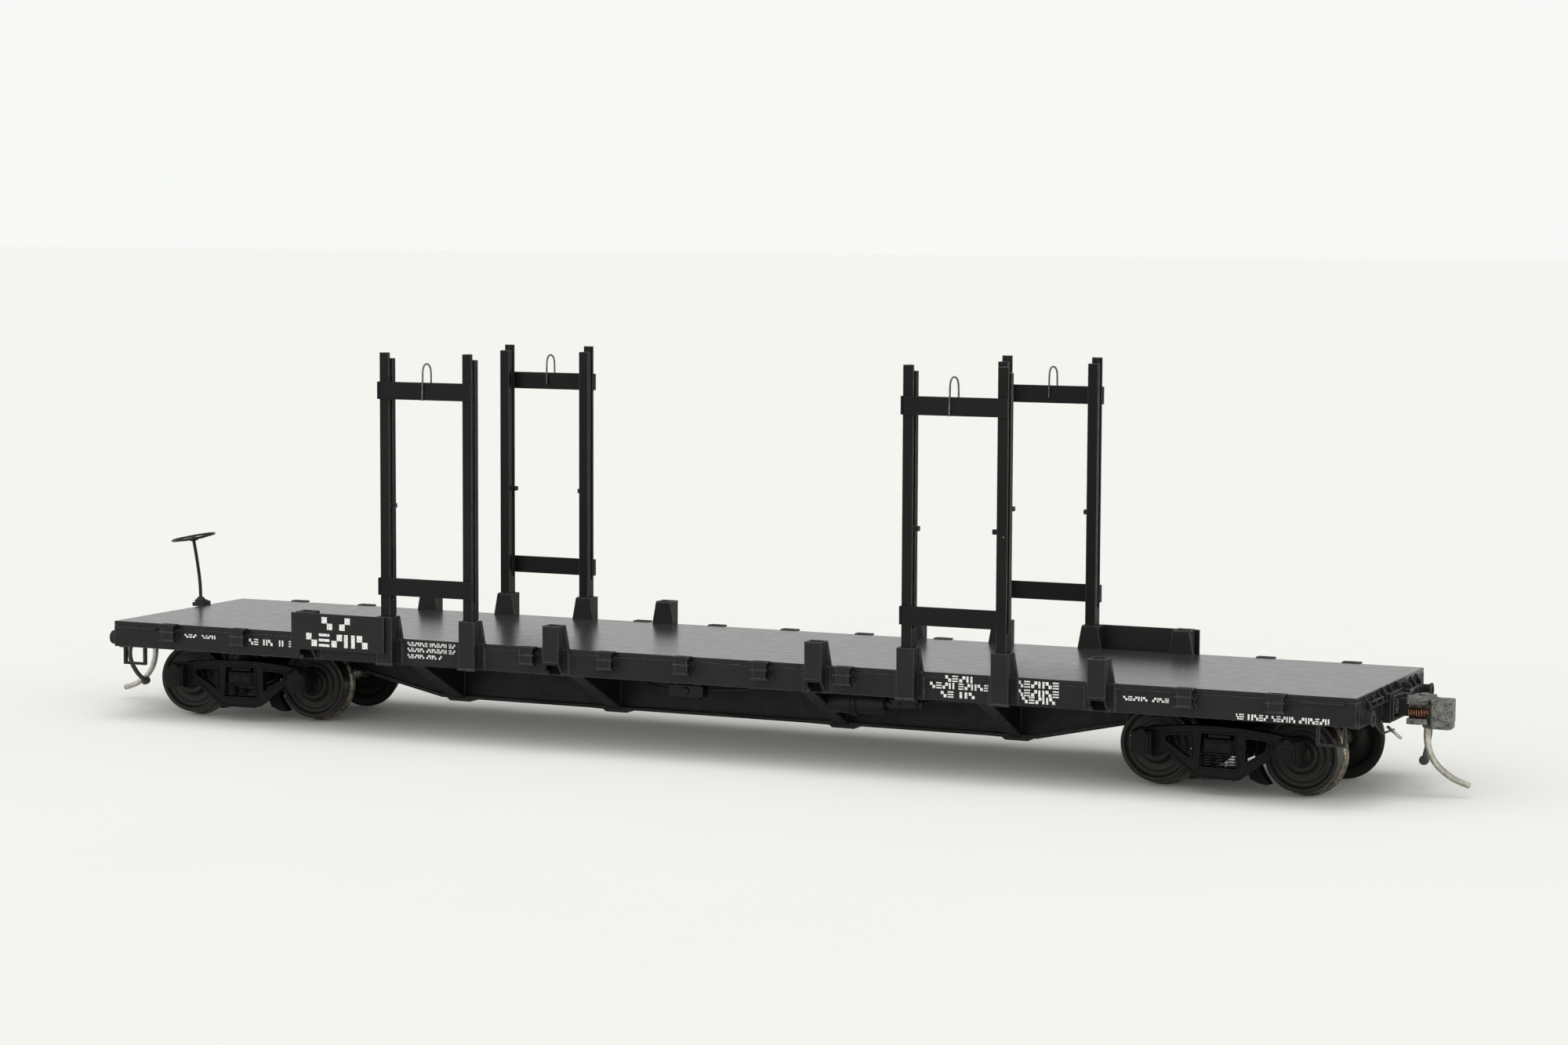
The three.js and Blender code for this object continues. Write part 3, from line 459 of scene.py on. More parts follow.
# Lighter band on softened edges: rubbed paint, and a painted highlight
EDGE_WEAR_AND_HIGHLIGHT = worn_and_highlighted_edge("worn edge with painted highlight", (0.034, 0.034, 0.0333), 0.42)
TREAD = bare_metal(
    "tread bronze", (0.025, 0.0235, 0.021), (0.11, 0.102, 0.09), 0.28, 0.12, 1800, stretch=(0.2, 3.0, 0.2))
FLANGE_WEAR = bare_metal("flange wear", (0.02, 0.018, 0.015), (0.31, 0.27, 0.21), 0.38, 0.3, 5200)
AXLE = bare_metal("axle steel", (0.24, 0.22, 0.2), (0.45, 0.42, 0.38), 0.35, 0.15, 3000)
CAST = bare_metal(
    "cast grey", (0.055, 0.054, 0.05), (0.25, 0.245, 0.228), 0.5, 0.9, 4600, metallic=0.75, depth=0.06)
PIN = bare_metal("pin steel", (0.27, 0.25, 0.22), (0.5, 0.47, 0.42), 0.42, 0.3, 2200, metallic=0.8)
COPPER = bare_metal("spring copper", (0.14, 0.062, 0.036), (0.4, 0.2, 0.12), 0.3, 0.15, 3000)
WIRE = bare_metal("wire dark", (0.05, 0.05, 0.05), (0.17, 0.165, 0.16), 0.38, 0.15, 4000)
RUBBER = black_finish("hose grey", (0.05, 0.05, 0.05), 0.6, dust=0.2)
# Near-black pocket linings: painted shade inside the hollow pockets
RECESS_SHADE = black_finish("recess painted shade", (0.0025, 0.0025, 0.0025), 0.7, dust=0.0, grain=0.1, gloss=0.05)
MARKING = marking_paint()


def dress_frame():
    """Every CAD node that stays gets its finish and softened edges, with worn paint and a painted highlight
    on the softened band.
    """
    looks = {
        "deck_plate": (DECK, 0.1), "underframe": (BODY, 0.07), "side_sill": (BODY, 0.07),
        "sign_board": (SIGN, 0.07), "end_sill": (BODY, 0.07), "draft_gear_box": (BODY, 0.1),
        "side_frame": (TRUCK, 0.12), "truck_bolster": (TRUCK, 0.15), "coupler_head": (CAST, 0.14),
        "knuckle": (CAST, 0.16), "stake": (STAKE, 0.06), "upper_board": (STAKE, 0.06),
        "lower_board": (STAKE, 0.06), "kingpin_screw": (AXLE, 0.08), "brake_staff": (FITTING, 0.08),
    }
    for name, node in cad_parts.items():
        kinds = [kind for kind in looks if name.startswith(kind)]
        look, width = looks[max(kinds, key=len)] if kinds else (FITTING, 0.0)
        node.data.materials.clear()
        node.data.materials.append(look)
        # Body, sign and stakes: the softened band gets the lighter edge colour, a painted highlight on worn
        # paint
        node.data.materials.append(EDGE_WEAR_AND_HIGHLIGHT if look in (BODY, SIGN, STAKE) else look)
        if width:
            weld = node.modifiers.new("join corners", "WELD")
            weld.merge_threshold = 0.002 * MM
            bevel_edges(node, width, worn_highlight_slot=1, harden=False)


def stand_truck(shape, end, sign):
    """Moves a shape drawn round a truck's centre to its place, turned on the kingpin as the truck stands."""
    turn = Matrix.Rotation(math.radians(TRUCK_TURN[end]), 3, "Z")
    return shape.turn(turn, (0, 0, 0)).shift(x=sign * TRUCK_X)


def wheels():
    """Fine turned wheels in place of the faceted ones: (radius, distance out from the back face)."""
    profile = [
        (1.23, 0.1), (2.15, 0.1), (2.3, 0.22), (2.7, 0.62), (3.75, 0.7), (3.98, 0.5), (4.06, 0.08),
        (4.16, 0.0), (5.08, 0.0), (5.3, 0.07), (5.42, 0.2), (5.45, 0.35), (5.4, 0.52), (5.24, 0.7),
        (5.04, 0.83),
        (4.96, 0.92), (4.93, 1.02), (4.83, 2.62), (4.8, 2.72), (4.7, 2.8), (4.36, 2.8), (4.26, 2.75),
        (4.16, 2.4), (3.95, 2.22), (3.55, 2.2), (3.45, 2.27), (3.1, 2.3), (3.0, 2.22), (2.6, 2.2),
        (2.4, 2.32), (2.22, 2.6), (2.16, 2.86), (2.02, 2.95), (1.5, 2.95), (1.42, 2.8), (1.23, 2.8),
    ]
    face, tread, flange = 0, 1, 2
    slots = [face] * 11 + [flange] * 5 + [tread] * 3 + [face] * (len(profile) - 19)
    for end, sign in ENDS:
        for axle, way in AXLES:
            for side, facing in SIDES:
                shape = Shape()
                rings = [(r, facing * (WHEEL_BACK + a)) for r, a in profile]
                shape.turned(1, (way * HALF_WHEELBASE, 0, AXLE_Z), rings, 96, slots)
                node = f"wheel_{end}_{axle}_{side}"
                made = stand_truck(shape, end, sign).piece(
                    f"rolled_{node}", f"wheelset_{end}_{axle}", "wheel_metal",
                    (WHEEL_FACE, TREAD, FLANGE_WEAR))
                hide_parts(node)


def axles():
    """Bright steel axles with painted ends, each with pointed tips."""
    half = [(0.0, 12.68), (0.3, 12.3), (0.73, 11.6), (0.75, 10.6), (1.2, 10.25), (1.2, 7.4), (1.0, 6.6),
            (0.95, 0.0)]
    profile = half + [(r, -a) for r, a in half[-2::-1]]
    painted = 4
    bands = len(profile) - 1
    slots = [1 if band < painted or band >= bands - painted else 0 for band in range(bands)]
    for end, sign in ENDS:
        for axle, way in AXLES:
            shape = Shape()
            shape.turned(1, (way * HALF_WHEELBASE, 0, AXLE_Z), profile, 40, slots)
            made = stand_truck(shape, end, sign).piece(
                f"turned_axle_{end}_{axle}", f"wheelset_{end}_{axle}", "axle_steel", (AXLE, WHEEL_FACE))
            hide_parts(f"axle_{end}_{axle}")


def truck_castings():
    """Raised ribs, journal lids, bolster ends, springs and brake gear of each truck side."""
    for end, sign in ENDS:
        for side, _ in SIDES:
            ribs, springs, shoes = frame_ribs(), frame_springs(), Shape()
            for way in (-1, 1):
                brake_shoe(shoes, way)
                brake_beam(shoes, way)
                if side == "front":
                    rod = [(0.0, -9.2), (0.3, -9.2), (0.3, 9.2), (0.0, 9.2)]
                    shoes.turned(1, (way * 2.9, 0, 3.35), rod, 12)
            for shape, name, look, bevel in (
                (ribs, "truck_ribs", TRUCK, 0.06), (springs, "truck_springs", FITTING, 0.0),
                (shoes, "brake_shoes", TRUCK, 0.06),
            ):
                if side == "back":
                    shape.half_turn()
                stand_truck(shape, end, sign).piece(
                    f"{name}_{end}_{side}", f"truck_{end}", "truck_plastic", (look,), bevel=bevel)


def frame_ribs():
    """The raised work on a truck side's face."""
    face = -FRAME_FACE
    deep, proud = face - 0.2, face + 0.15
    shape = Shape()
    for way in (-1, 1):
        window = [(3.5, 7.7), (6.6, 7.5), (7.1, 7.2), (7.0, 6.5), (3.75, 4.5), (3.5, 4.7)]
        shape.strip([(way * x, z) for x, z in window], 0.15, deep + 0.04, proud, closed=True)
        top = [(0, 8.72), (3.4, 8.66), (7.3, 8.26), (8.3, 8.1)]
        shape.strip([(way * x, z) for x, z in top], 0.15, deep, proud)
        foot = [(2.1, 2.32), (2.95, 2.54), (3.95, 3.24), (5.45, 4.44), (6.8, 5.55)]
        shape.strip([(way * x, z) for x, z in foot], 0.16, deep, proud)
        journal_lid(shape, way * HALF_WHEELBASE)
        shape.rivet((way * 2.95, face, 6.4), (0, -1, 0), 0.22, 0.14, 10)
        shape.rivet((way * 2.95, face, 4.1), (0, -1, 0), 0.15, 0.1, 8)
    shape.strip([(-2.6, 3.55), (2.6, 3.55), (2.3, 8.0), (-2.3, 8.0)], 0.13, deep + 0.06, proud, closed=True)
    shape.strip([(-2.0, 2.34), (2.0, 2.34)], 0.14, deep, proud)
    panel = [(-1.8, 5.75), (-1.6, 5.6), (1.6, 5.6), (1.8, 5.75), (1.8, 6.85), (1.6, 7.0), (-1.6, 7.0),
             (-1.8, 6.85)]
    shape.prism(1, panel, -13.6, -13.3)
    for middle in (-0.8, 0.8):
        shape.prism(1, [(x * 0.42 + middle, 6.3 + (z - 6.3) * 0.7) for x, z in panel], -13.72, -13.5)
    shape.box((-1.45, -13.35, 7.35), (1.45, -13.0, 7.75))
    shape.box((-2.45, -13.5, 3.45), (2.45, -12.2, 3.66))
    shape.box((-2.35, -13.45, 5.2), (2.35, -12.3, 5.4))
    return shape


def frame_springs():
    """The bolster's coil springs, open enough to see through."""
    shape = Shape()
    for x in (-1.62, 0.0, 1.62):
        shape.coil((x, -12.85, 3.66), 2, 0.6, 0.075, 1.56, 4.5)
    return shape


def journal_lid(shape, x):
    face = -JOURNAL_FACE
    lid = [(-1.05, 5.35), (-0.95, 5.0), (-0.6, 4.75), (0.6, 4.75), (0.95, 5.0), (1.05, 5.35), (1.05, 7.1),
           (0.85, 7.35), (-0.85, 7.35), (-1.05, 7.1)]
    bolt = [(0.0, face - 0.4), (0.28, face - 0.36), (0.34, face - 0.2), (0.0, face - 0.2)]
    shape.prism(1, [(x + u, v + 0.15) for u, v in lid], face - 0.16, face + 0.3)
    shape.prism(1, [(x + u * 0.62, 6.2 + (v - 6.05) * 0.62) for u, v in lid], face - 0.28, face)
    shape.turned(1, (x, 0, 6.3), bolt, 14)
    shape.tube([(x - 0.8, face + 0.02, 7.62), (x + 0.8, face + 0.02, 7.62)], 0.2, 12, 1)


def brake_beam(shape, way):
    """The beam across the truck between the shoes, clear of the flanges."""
    shape.prism(1, [(way * 3.2, 4.5), (way * 3.95, 5.1), (way * 3.95, 6.2), (way * 3.2, 6.7)], -7.0, 0.0)


def brake_shoe(shape, way):
    """A curved shoe just clear of the wheel, with its hanger. way is +1 for the wheel on the +X side."""
    def around(radius, degrees):
        angle = math.radians(degrees)
        return (way * (HALF_WHEELBASE - radius * math.cos(angle)), AXLE_Z - radius * math.sin(angle))

    inner = [around(5.8, degrees) for degrees in range(10, 46, 5)]
    outer = [around(6.15, 43), around(6.9, 36), around(7.6, 28), around(7.6, 20), around(6.7, 10)]
    shape.prism(1, inner + outer, -9.6, -8.1)
    shape.prism(1, [(way * 3.3, 4.2), (way * 3.9, 4.2), (way * 3.7, 7.4), (way * 3.2, 7.4)], -9.1, -8.5)


def pocket_painted_shade():
    """Painted shade and highlights of the empty tall pockets: dark linings standing in for the shade inside,
    and rims with a painted highlight.
    """
    for side, _ in SIDES:
        shade_sheet, rim = Shape(), Shape()
        for middle in (POCKET_X[0], POCKET_X[3]):
            for x in (middle, -middle):
                # Dark sheets in the pocket openings: painted shade
                shade_sheet.box((x - 0.86, -16.56, 10.3), (x + 0.86, -16.53, 13.8))
                shade_sheet.box((x - 0.86, -16.15, 13.85), (x + 0.86, -16.11, 16.8))
                shade_sheet.box((x - 0.86, -17.7, 10.9), (x - 0.83, -16.56, 13.8))
                shade_sheet.box((x - 0.86, -17.7, 13.8), (x - 0.83, -16.15, 16.8))
                # Pale rims round the slots: a painted highlight
                for y0, y1 in ((-18.12, -17.9), (-16.12, -15.95)):
                    rim.box((x - 1.22, y0, 16.85), (x + 1.22, y1, 17.02))
                for x0, x1 in ((x - 1.22, x - 0.98), (x + 0.98, x + 1.22)):
                    rim.box((x0, -17.9, 16.85), (x1, -16.12, 17.0))
        for shape, name, look in ((shade_sheet, "pocket_painted_shade", RECESS_SHADE), (rim, "pocket_highlight_rims", EDGE_WEAR_AND_HIGHLIGHT)):
            if side == "back":
                shape.half_turn()
            shape.piece(f"{name}_{side}", "car", "body_plastic", (look,))


def rivet_rows():
    """Rivets of one side: pocket flanges, sill seams and foot, and the centre sill's flange line."""
    for side, _ in SIDES:
        shape = Shape()
        outward = (0, -1, 0)
        for middle in POCKET_X:
            for x in (middle, -middle):
                for edge in (-1.68, 1.68):
                    for i in range(6):
                        shape.rivet((x + edge, -SILL_FACE - 0.22, 10.7 + 0.52 * i), outward)
        for x in (5.4, 16.6, 27.3, 64.2, 75.6, 86.4):
            for way in (-1, 1):
                for i in range(6):
                    shape.rivet((way * x, -SILL_FACE, 10.75 + 0.5 * i), outward, 0.09, 0.05)
        x = -89.2
        while x < 89.5:
            shape.rivet((x, -SILL_FACE, 10.42), outward, 0.08, 0.045)
            x += 1.35
        for x, z in belly_rivets(0.75, 1.3):
            shape.rivet((x, -WEB_FACE, z), outward, 0.1, 0.06)
        for x, z in belly_rivets(0.75, 0.72):
            shape.rivet((x, -WEB_FACE, z), outward, 0.08, 0.05)
        if side == "back":
            shape.half_turn()
        shape.piece(f"rivets_{side}", "car", "body_plastic", (BODY,))


def belly_rivets(pitch, lift):
    line = [(-63.0, 9.1), (-60.2, 7.3), (-44.8, 4.0), (44.8, 4.0), (60.2, 7.3), (63.0, 9.1)]
    places = []
    for (x0, z0), (x1, z1) in zip(line, line[1:]):
        count = int(math.hypot(x1 - x0, z1 - z0) / pitch)
        places += [(x0 + (x1 - x0) * i / count, z0 + (z1 - z0) * i / count + lift) for i in range(count)]
    return [(x, z) for x, z in places if z < 12.4]


def markings():
    """Rows of plain white marks where the car carries its stencilled data. None of them is a letter."""
    for side, _ in SIDES:
        sign_rows, sill_rows = Shape(), Shape()
        mark_row(sign_rows, -54.9, -50.0, 15.6, -SIGN_FACE, 1.75, [1.5, -0.6, 1.5])
        mark_row(sign_rows, -57.4, -47.2, 13.25, -SIGN_FACE, 1.8, [1, 1, 1, 1, 1])
        for start, end, z, height, marks in SILL_ROWS:
            mark_row(sill_rows, start, end, z, -SILL_FACE, height, marks)
        for shape, name in ((sign_rows, "sign_marks"), (sill_rows, "sill_marks")):
            if side == "back":
                shape.half_turn()
            shape.piece(f"{name}_{side}", "car", None, (MARKING,))


def mark_row(shape, start, end, z, y, height, marks):
    scale = (end - start) / sum(abs(mark) for mark in marks)
    x = start
    for number, mark in enumerate(marks):
        width = abs(mark) * scale
        if mark > 0:
            plain_mark(shape, x, x + width * 0.84, z, y, height, number % 4)
        x += width


def plain_mark(shape, x0, x1, z, y, height, kind):
    """Four plain marks: two squares set corner to corner either way, three bars, or two uprights."""
    post, bar, half = (x1 - x0) / 3, height / 5, height / 2
    middle = (x0 + x1) / 2
    patterns = (
        ((x0, middle, 0, half), (middle, x1, -half, 0)),
        ((x0, x1, half - bar, half), (x0, x1, -bar / 2, bar / 2), (x0, x1, -half, bar - half)),
        ((middle, x1, 0, half), (x0, middle, -half, 0)),
        ((x0, x0 + post, -half, half), (x1 - post, x1, -half, half)),
    )
    for left, right, low, high in patterns[kind]:
        shape.box((left, y - MARK_PROUD, z + low), (right, y + MARK_ROOT, z + high))


def grab_irons():
    """Bent wire handholds: one at each end of each side, one on each end sill."""
    for side, _ in SIDES:
        shape = Shape()
        for x0, x1 in ((83.8, 89.7), (-90.1, -83.7)):
            corner(shape, [(x0, -SILL_FACE + 0.1, 13.0), (x0, -17.05, 13.0), (x1, -17.05, 13.0),
                           (x1, -SILL_FACE + 0.1, 13.0)], 0.14)
            for x in (x0, x1):
                shape.rivet((x, -SILL_FACE, 13.0), (0, -1, 0), 0.24, 0.1, 10)
        if side == "back":
            shape.half_turn()
        shape.piece(f"side_grab_irons_{side}", "car", "fittings_metal", (FITTING,))
    for end, sign in ENDS:
        shape = Shape()
        corner(shape, [(DECK_END, -12.1, 12.9), (91.75, -12.1, 12.9), (91.75, -6.6, 12.9),
                       (DECK_END, -6.6, 12.9)], 0.14)
        corner(shape, [(91.2, -12.4, 11.3), (91.8, -12.3, 11.0), (91.9, -10.6, 9.9), (92.0, -8.9, 8.9),
                       (92.1, -7.9, 8.5), (92.2, -2.9, 8.35)], 0.14)
        corner(shape, [(91.2, -9.4, 10.4), (91.9, -9.3, 9.9), (92.1, -8.6, 8.7)], 0.2)
        shape.rivet((91.0, -9.4, 10.4), (1, 0, 0), 0.45, 0.3, 12)
        if sign < 0:
            shape.half_turn()
        shape.piece(f"cut_lever_{end}", "car", "fittings_metal", (FITTING,))
        rod = Shape()
        rod.tube([(92.0, -5.2, 9.0), (94.0, -6.3, 7.8)], 0.2, 12, 1)
        if sign < 0:
            rod.half_turn()
        rod.piece(f"lever_tip_{end}", "car", "wire_steel", (PIN,))


def corner(shape, points, radius):
    """A bar through the points with small rounded corners."""
    line = [Vector(p) for p in points]
    path = [line[0]]
    for a, b, c in zip(line, line[1:], line[2:]):
        cut = min(0.3, (b - a).length / 2, (c - b).length / 2)
        before, after = b + (a - b).normalized() * cut, b + (c - b).normalized() * cut
        for i in range(5):
            t = i / 4
            path.append(before * (1 - t) ** 2 + b * 2 * t * (1 - t) + after * t * t)
    path.append(line[-1])
    shape.sweep(path, [radius] * len(path), 10)


def brake_pipes():
    """The moulded air pipe at each end with its coupling, on the far side from the cut lever's handle."""
    for end, sign in ENDS:
        shape = Shape()
        shape.tube([(91.0, 8.4, 10.4), (92.6, 8.6, 10.2), (93.7, 8.8, 9.0), (94.0, 8.3, 7.0),
                    (94.1, 6.6, 5.0), (94.2, 4.7, 3.7)], 0.33, 14, 8)
        shape.turned(1, (94.3, 4.3, 3.6), [(0.0, -0.45), (0.55, -0.45), (0.62, -0.1), (0.62, 0.3), (0.4, 0.5),
                                           (0.0, 0.5)], 20)
        shape.box((93.9, 3.7, 3.3), (94.7, 4.1, 3.9))
        shape.turned(0, (0, 8.4, 10.4), [(0.0, 90.9), (0.55, 90.9), (0.55, 91.5), (0.0, 91.5)], 16)
        if sign < 0:
            shape.half_turn()
        shape.piece(f"air_pipe_{end}", "car", "fittings_metal", (RUBBER,))


def brake_gear():
    """Cylinder, valve and pipes below the deck at the front."""
    shape = Shape()
    cylinder = [
        (0.0, 17.2), (1.35, 17.2), (1.6, 17.6), (1.62, 21.0), (1.9, 21.05), (1.9, 21.35),
        (1.72, 21.4), (1.72, 21.7), (1.9, 21.75), (1.9, 22.05), (1.55, 22.1), (1.5, 25.0),
        (1.2, 25.5), (1.1, 25.9), (0.55, 26.0), (0.5, 26.9), (0.0, 26.9),
    ]
    shape.turned(0, (0, -9.0, 8.25), cylinder, 36)
    for i in range(8):
        angle = 2 * math.pi * (i + 0.5) / 8
        bolt = (21.05, -9.0 + 1.78 * math.cos(angle), 8.25 + 1.78 * math.sin(angle))
        shape.rivet(bolt, (-1, 0, 0), 0.16, 0.16, 6)
    shape.box((18.4, -9.2, 9.8), (19.4, -7.8, 13.0))
    shape.box((23.4, -9.2, 9.8), (24.4, -7.8, 13.0))
    shape.prism(1, [(26.4, 7.7), (31.2, 7.9), (31.2, 8.7), (29.0, 8.9), (26.4, 8.9)], -9.4, -8.8)
    shape.box((29.6, -9.6, 7.9), (30.6, -8.6, 12.9))
    shape.rivet((28.0, -9.4, 8.3), (0, -1, 0), 0.3, 0.25, 10)
    shape.rivet((30.3, -9.6, 8.3), (0, -1, 0), 0.25, 0.2, 10)
    shape.box((-6.1, -8.9, 7.3), (-1.0, -7.1, 8.9))
    shape.box((-5.6, -8.7, 8.8), (-4.7, -7.3, 12.8))
    shape.box((-2.4, -8.7, 8.8), (-1.5, -7.3, 12.8))
    shape.turned(1, (-3.6, 0, 8.1), [(0.0, -9.1), (0.5, -9.1), (0.6, -8.9), (0.0, -8.9)], 18)
    shape.turned(2, (-2.0, -8.3, 0), [(0.0, 6.75), (0.35, 6.85), (0.45, 7.3), (0.0, 7.3)], 16)
    shape.turned(2, (10.6, -10.5, 0), [(0.0, 9.3), (0.42, 9.45), (0.5, 10.0), (0.5, 12.5), (0.0, 12.5)], 18)
    shape.piece("brake_cylinder", "car", "body_plastic", (SIGN,), bevel=0.08)
    pipes = Shape()
    pipes.tube([(-1.0, -8.0, 8.3), (4.0, -8.0, 8.6), (8.0, -8.1, 9.1), (17.4, -8.5, 9.2)], 0.17, 8, 4)
    pipes.tube([(-88.0, 5.2, 11.6), (88.0, 5.2, 11.6)], 0.3, 8, 1)
    pipes.tube([(-6.0, -8.0, 8.0), (-10.0, -6.5, 8.4), (-14.5, -3.4, 9.6), (-14.6, -2.2, 10.2)], 0.17, 8, 4)
    pipes.tube([(31.0, -8.6, 8.8), (40.0, -8.4, 9.2), (58.0, -6.0, 10.4)], 0.14, 8, 4)
    pipes.piece("brake_rods", "car", "body_plastic", (FITTING,))


def end_details():
    """Ribs of the end cells beside the striker, a wear plate on it and the box lid's screws."""
    for end, sign in ENDS:
        ribs, plate = Shape(), Shape()
        for y in (-5.1, -2.0, 1.8):
            outline = [(90.9, 12.4), (91.85, 12.5), (91.85, 12.9), (91.3, 13.8), (90.9, 13.8)]
            ribs.prism(1, outline, y - 0.16, y + 0.16)
        ribs.box((90.9, -6.9, 13.0), (91.1, 6.9, 13.7))
        for y in (-3.9, 3.9):
            for z in (9.9, 10.9, 11.9):
                ribs.rivet((92.1, y, z), (1, 0, 0), 0.14, 0.1)
        for x in (82.2, 90.6):
            ribs.rivet((x, 0, 9.4), (0, 0, -1), 0.7, 0.35, 14)
        plate.box((92.3, 1.3, 12.55), (93.1, 3.2, 12.95))
        plate.prism(1, [(91.6, 12.6), (93.1, 12.6), (92.7, 13.5), (91.6, 13.7)], 2.9, 3.3)
        if sign < 0:
            ribs.half_turn()
            plate.half_turn()
        ribs.piece(f"end_ribs_{end}", "car", "body_plastic", (BODY,), bevel=0.05)
        plate.piece(f"striker_plate_{end}", "car", "fittings_metal", (FITTING,), bevel=0.1)


def coupler_details():
    """Coil spring, hinge pin, ribs, shank sleeve and curved trip pin of each coupler."""
    for end, sign in ENDS:
        spring, head, sleeve, jaw, trip = Shape(), Shape(), Shape(), Shape(), Shape()
        spring.coil((93.72, -1.8, 10.5), 0, 0.57, 0.09, 2.46, 7.5, 8, 18)
        cap = [(0.0, 12.35), (0.75, 12.35), (0.75, 12.6), (0.55, 12.7), (0.0, 12.7)]
        head.turned(2, (95.2, 0.7, 0), cap, 24)
        head.prism(2, [(93.7, -2.4), (96.2, -2.4), (96.2, -2.0), (94.6, -1.2), (93.7, -1.1)], 12.3, 12.62)
        lip = [(94.0, -2.5, 11.5), (94.8, -2.62, 11.75), (95.6, -2.62, 12.15), (96.3, -2.5, 12.3)]
        head.tube(lip, 0.16, 8, 5)
        head.box((93.65, -2.5, 9.06), (96.2, -1.1, 9.8))
        sleeve.box((92.35, -1.35, 9.9), (93.58, 1.35, 12.15))
        hinge = [(0.0, 11.9), (0.55, 11.9), (0.55, 12.2), (0.4, 12.3), (0.0, 12.3)]
        jaw.turned(2, (96.9, -1.75, 0), hinge, 20)
        jaw.prism(2, [(96.9, -2.5), (98.9, -2.55), (98.9, -2.35), (96.9, -2.35)], 9.6, 11.2)
        jaw.box((97.8, -2.6, 9.9), (98.05, -2.4, 11.0))
        jaw.prism(2, [(98.9, -2.1), (99.35, -1.7), (99.2, 0.1), (98.95, 0.2)], 9.3, 11.4)
        hang = [(95.9, 8.58), (95.9, 7.0), (96.3, 5.3), (97.3, 3.75), (98.9, 2.5), (100.2, 1.9),
                (101.4, 1.52)]
        trip_path = smooth_path([(x, -0.6, z) for x, z in hang], 8)
        last = len(trip_path) - 1
        trip.sweep(trip_path, [0.44 - 0.07 * i / last for i in range(last + 1)], 20)
        parts = (
            (spring, "wound_spring", "coupler", "spring_copper", COPPER, 0.0, "knuckle_spring"),
            (head, "head_ribs", "coupler", "coupler_metal", CAST, 0.06, None),
            (sleeve, "shank_sleeve", "coupler", "coupler_metal", FITTING, 0.08, None),
            (jaw, "knuckle_ribs", "knuckle_unit", "coupler_metal", CAST, 0.06, None),
            (trip, "bent_trip_pin", "knuckle_unit", "pin_steel", PIN, 0.06, "trip_pin"),
        )
        for shape, name, body, slot, look, bevel, node in parts:
            if sign < 0:
                shape.half_turn()
            made = shape.piece(f"{name}_{end}", f"{body}_{end}", slot, (look,), bevel=bevel)
            if node:
                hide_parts(f"{node}_{end}")


def handbrake():
    """A dished wheel with five curved spokes on its tilted axis."""
    axis = Vector((-0.158, -0.072, 0.985)).normalized()
    centre = Vector((-92.8, 6.3, 23.7))
    radius = 3.3
    shape = Shape()
    wire, around = 0.16, 64
    angles = [2 * math.pi * i / around for i in range(around)]
    rim = [Vector((math.cos(a) * (radius - wire), math.sin(a) * (radius - wire), 0.24)) for a in angles]
    shape.sweep(rim, [wire] * around, 10, closed=True)
    for i in range(5):
        angle = 2 * math.pi * i / 5
        spoke = [(0.35, 0.0), (1.2, -0.02), (2.2, 0.1), (radius - 0.2, 0.23)]
        path = smooth_path([(r * math.cos(angle), r * math.sin(angle), z) for r, z in spoke], 5)
        shape.sweep(path, [0.13] * len(path), 8)
    hub = [(0.0, -0.3), (0.6, -0.3), (0.65, -0.1), (0.5, 0.2), (0.25, 0.3), (0.0, 0.3)]
    shape.turned(2, (0, 0, 0), hub, 20)
    tilt = Vector((0, 0, 1)).rotation_difference(axis).to_matrix()
    shape.turn(tilt, (0, 0, 0)).shift(*centre)
    made = shape.piece("dished_brake_wheel", "handbrake_wheel", "fittings_metal", (FITTING,))
    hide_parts("brake_wheel")
    staff = Shape()
    staff.tube([(-92.1, 6.9, 9.0), (-92.1, 6.9, 12), (-92.1, 6.9, 15.2), (-92.2, 6.85, 17.5),
                (-92.45, 6.6, 20.4), (-92.8, 6.3, 23.35)], 0.25, 14, 6)
    ratchet = [(0.0, 14.2), (0.8, 14.2), (0.85, 14.5), (0.6, 14.75), (0.35, 15.0), (0.0, 15.0)]
    staff.turned(2, (-92.1, 6.9, 0), ratchet, 18)
    for i in range(10):
        angle = 2 * math.pi * i / 10
        staff.rivet((-92.1 + 0.82 * math.cos(angle), 6.9 + 0.82 * math.sin(angle), 14.35),
                    (math.cos(angle), math.sin(angle), 0), 0.12, 0.14, 6)
    bracket = [(-92.9, 13.65), (-91.02, 13.65), (-91.02, 14.3), (-91.5, 14.42), (-92.9, 14.2)]
    staff.prism(1, bracket, 5.85, 7.95)
    staff.box((-92.6, 6.4, 10.0), (-91.02, 7.4, 10.6))
    for y in (6.1, 7.7):
        staff.rivet((-91.5, y, 14.4), (0, 0, 1), 0.16, 0.12, 8)
    made = staff.piece("bent_brake_staff", "car", "fittings_metal", (FITTING,), bevel=0.05)
    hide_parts("brake_staff")


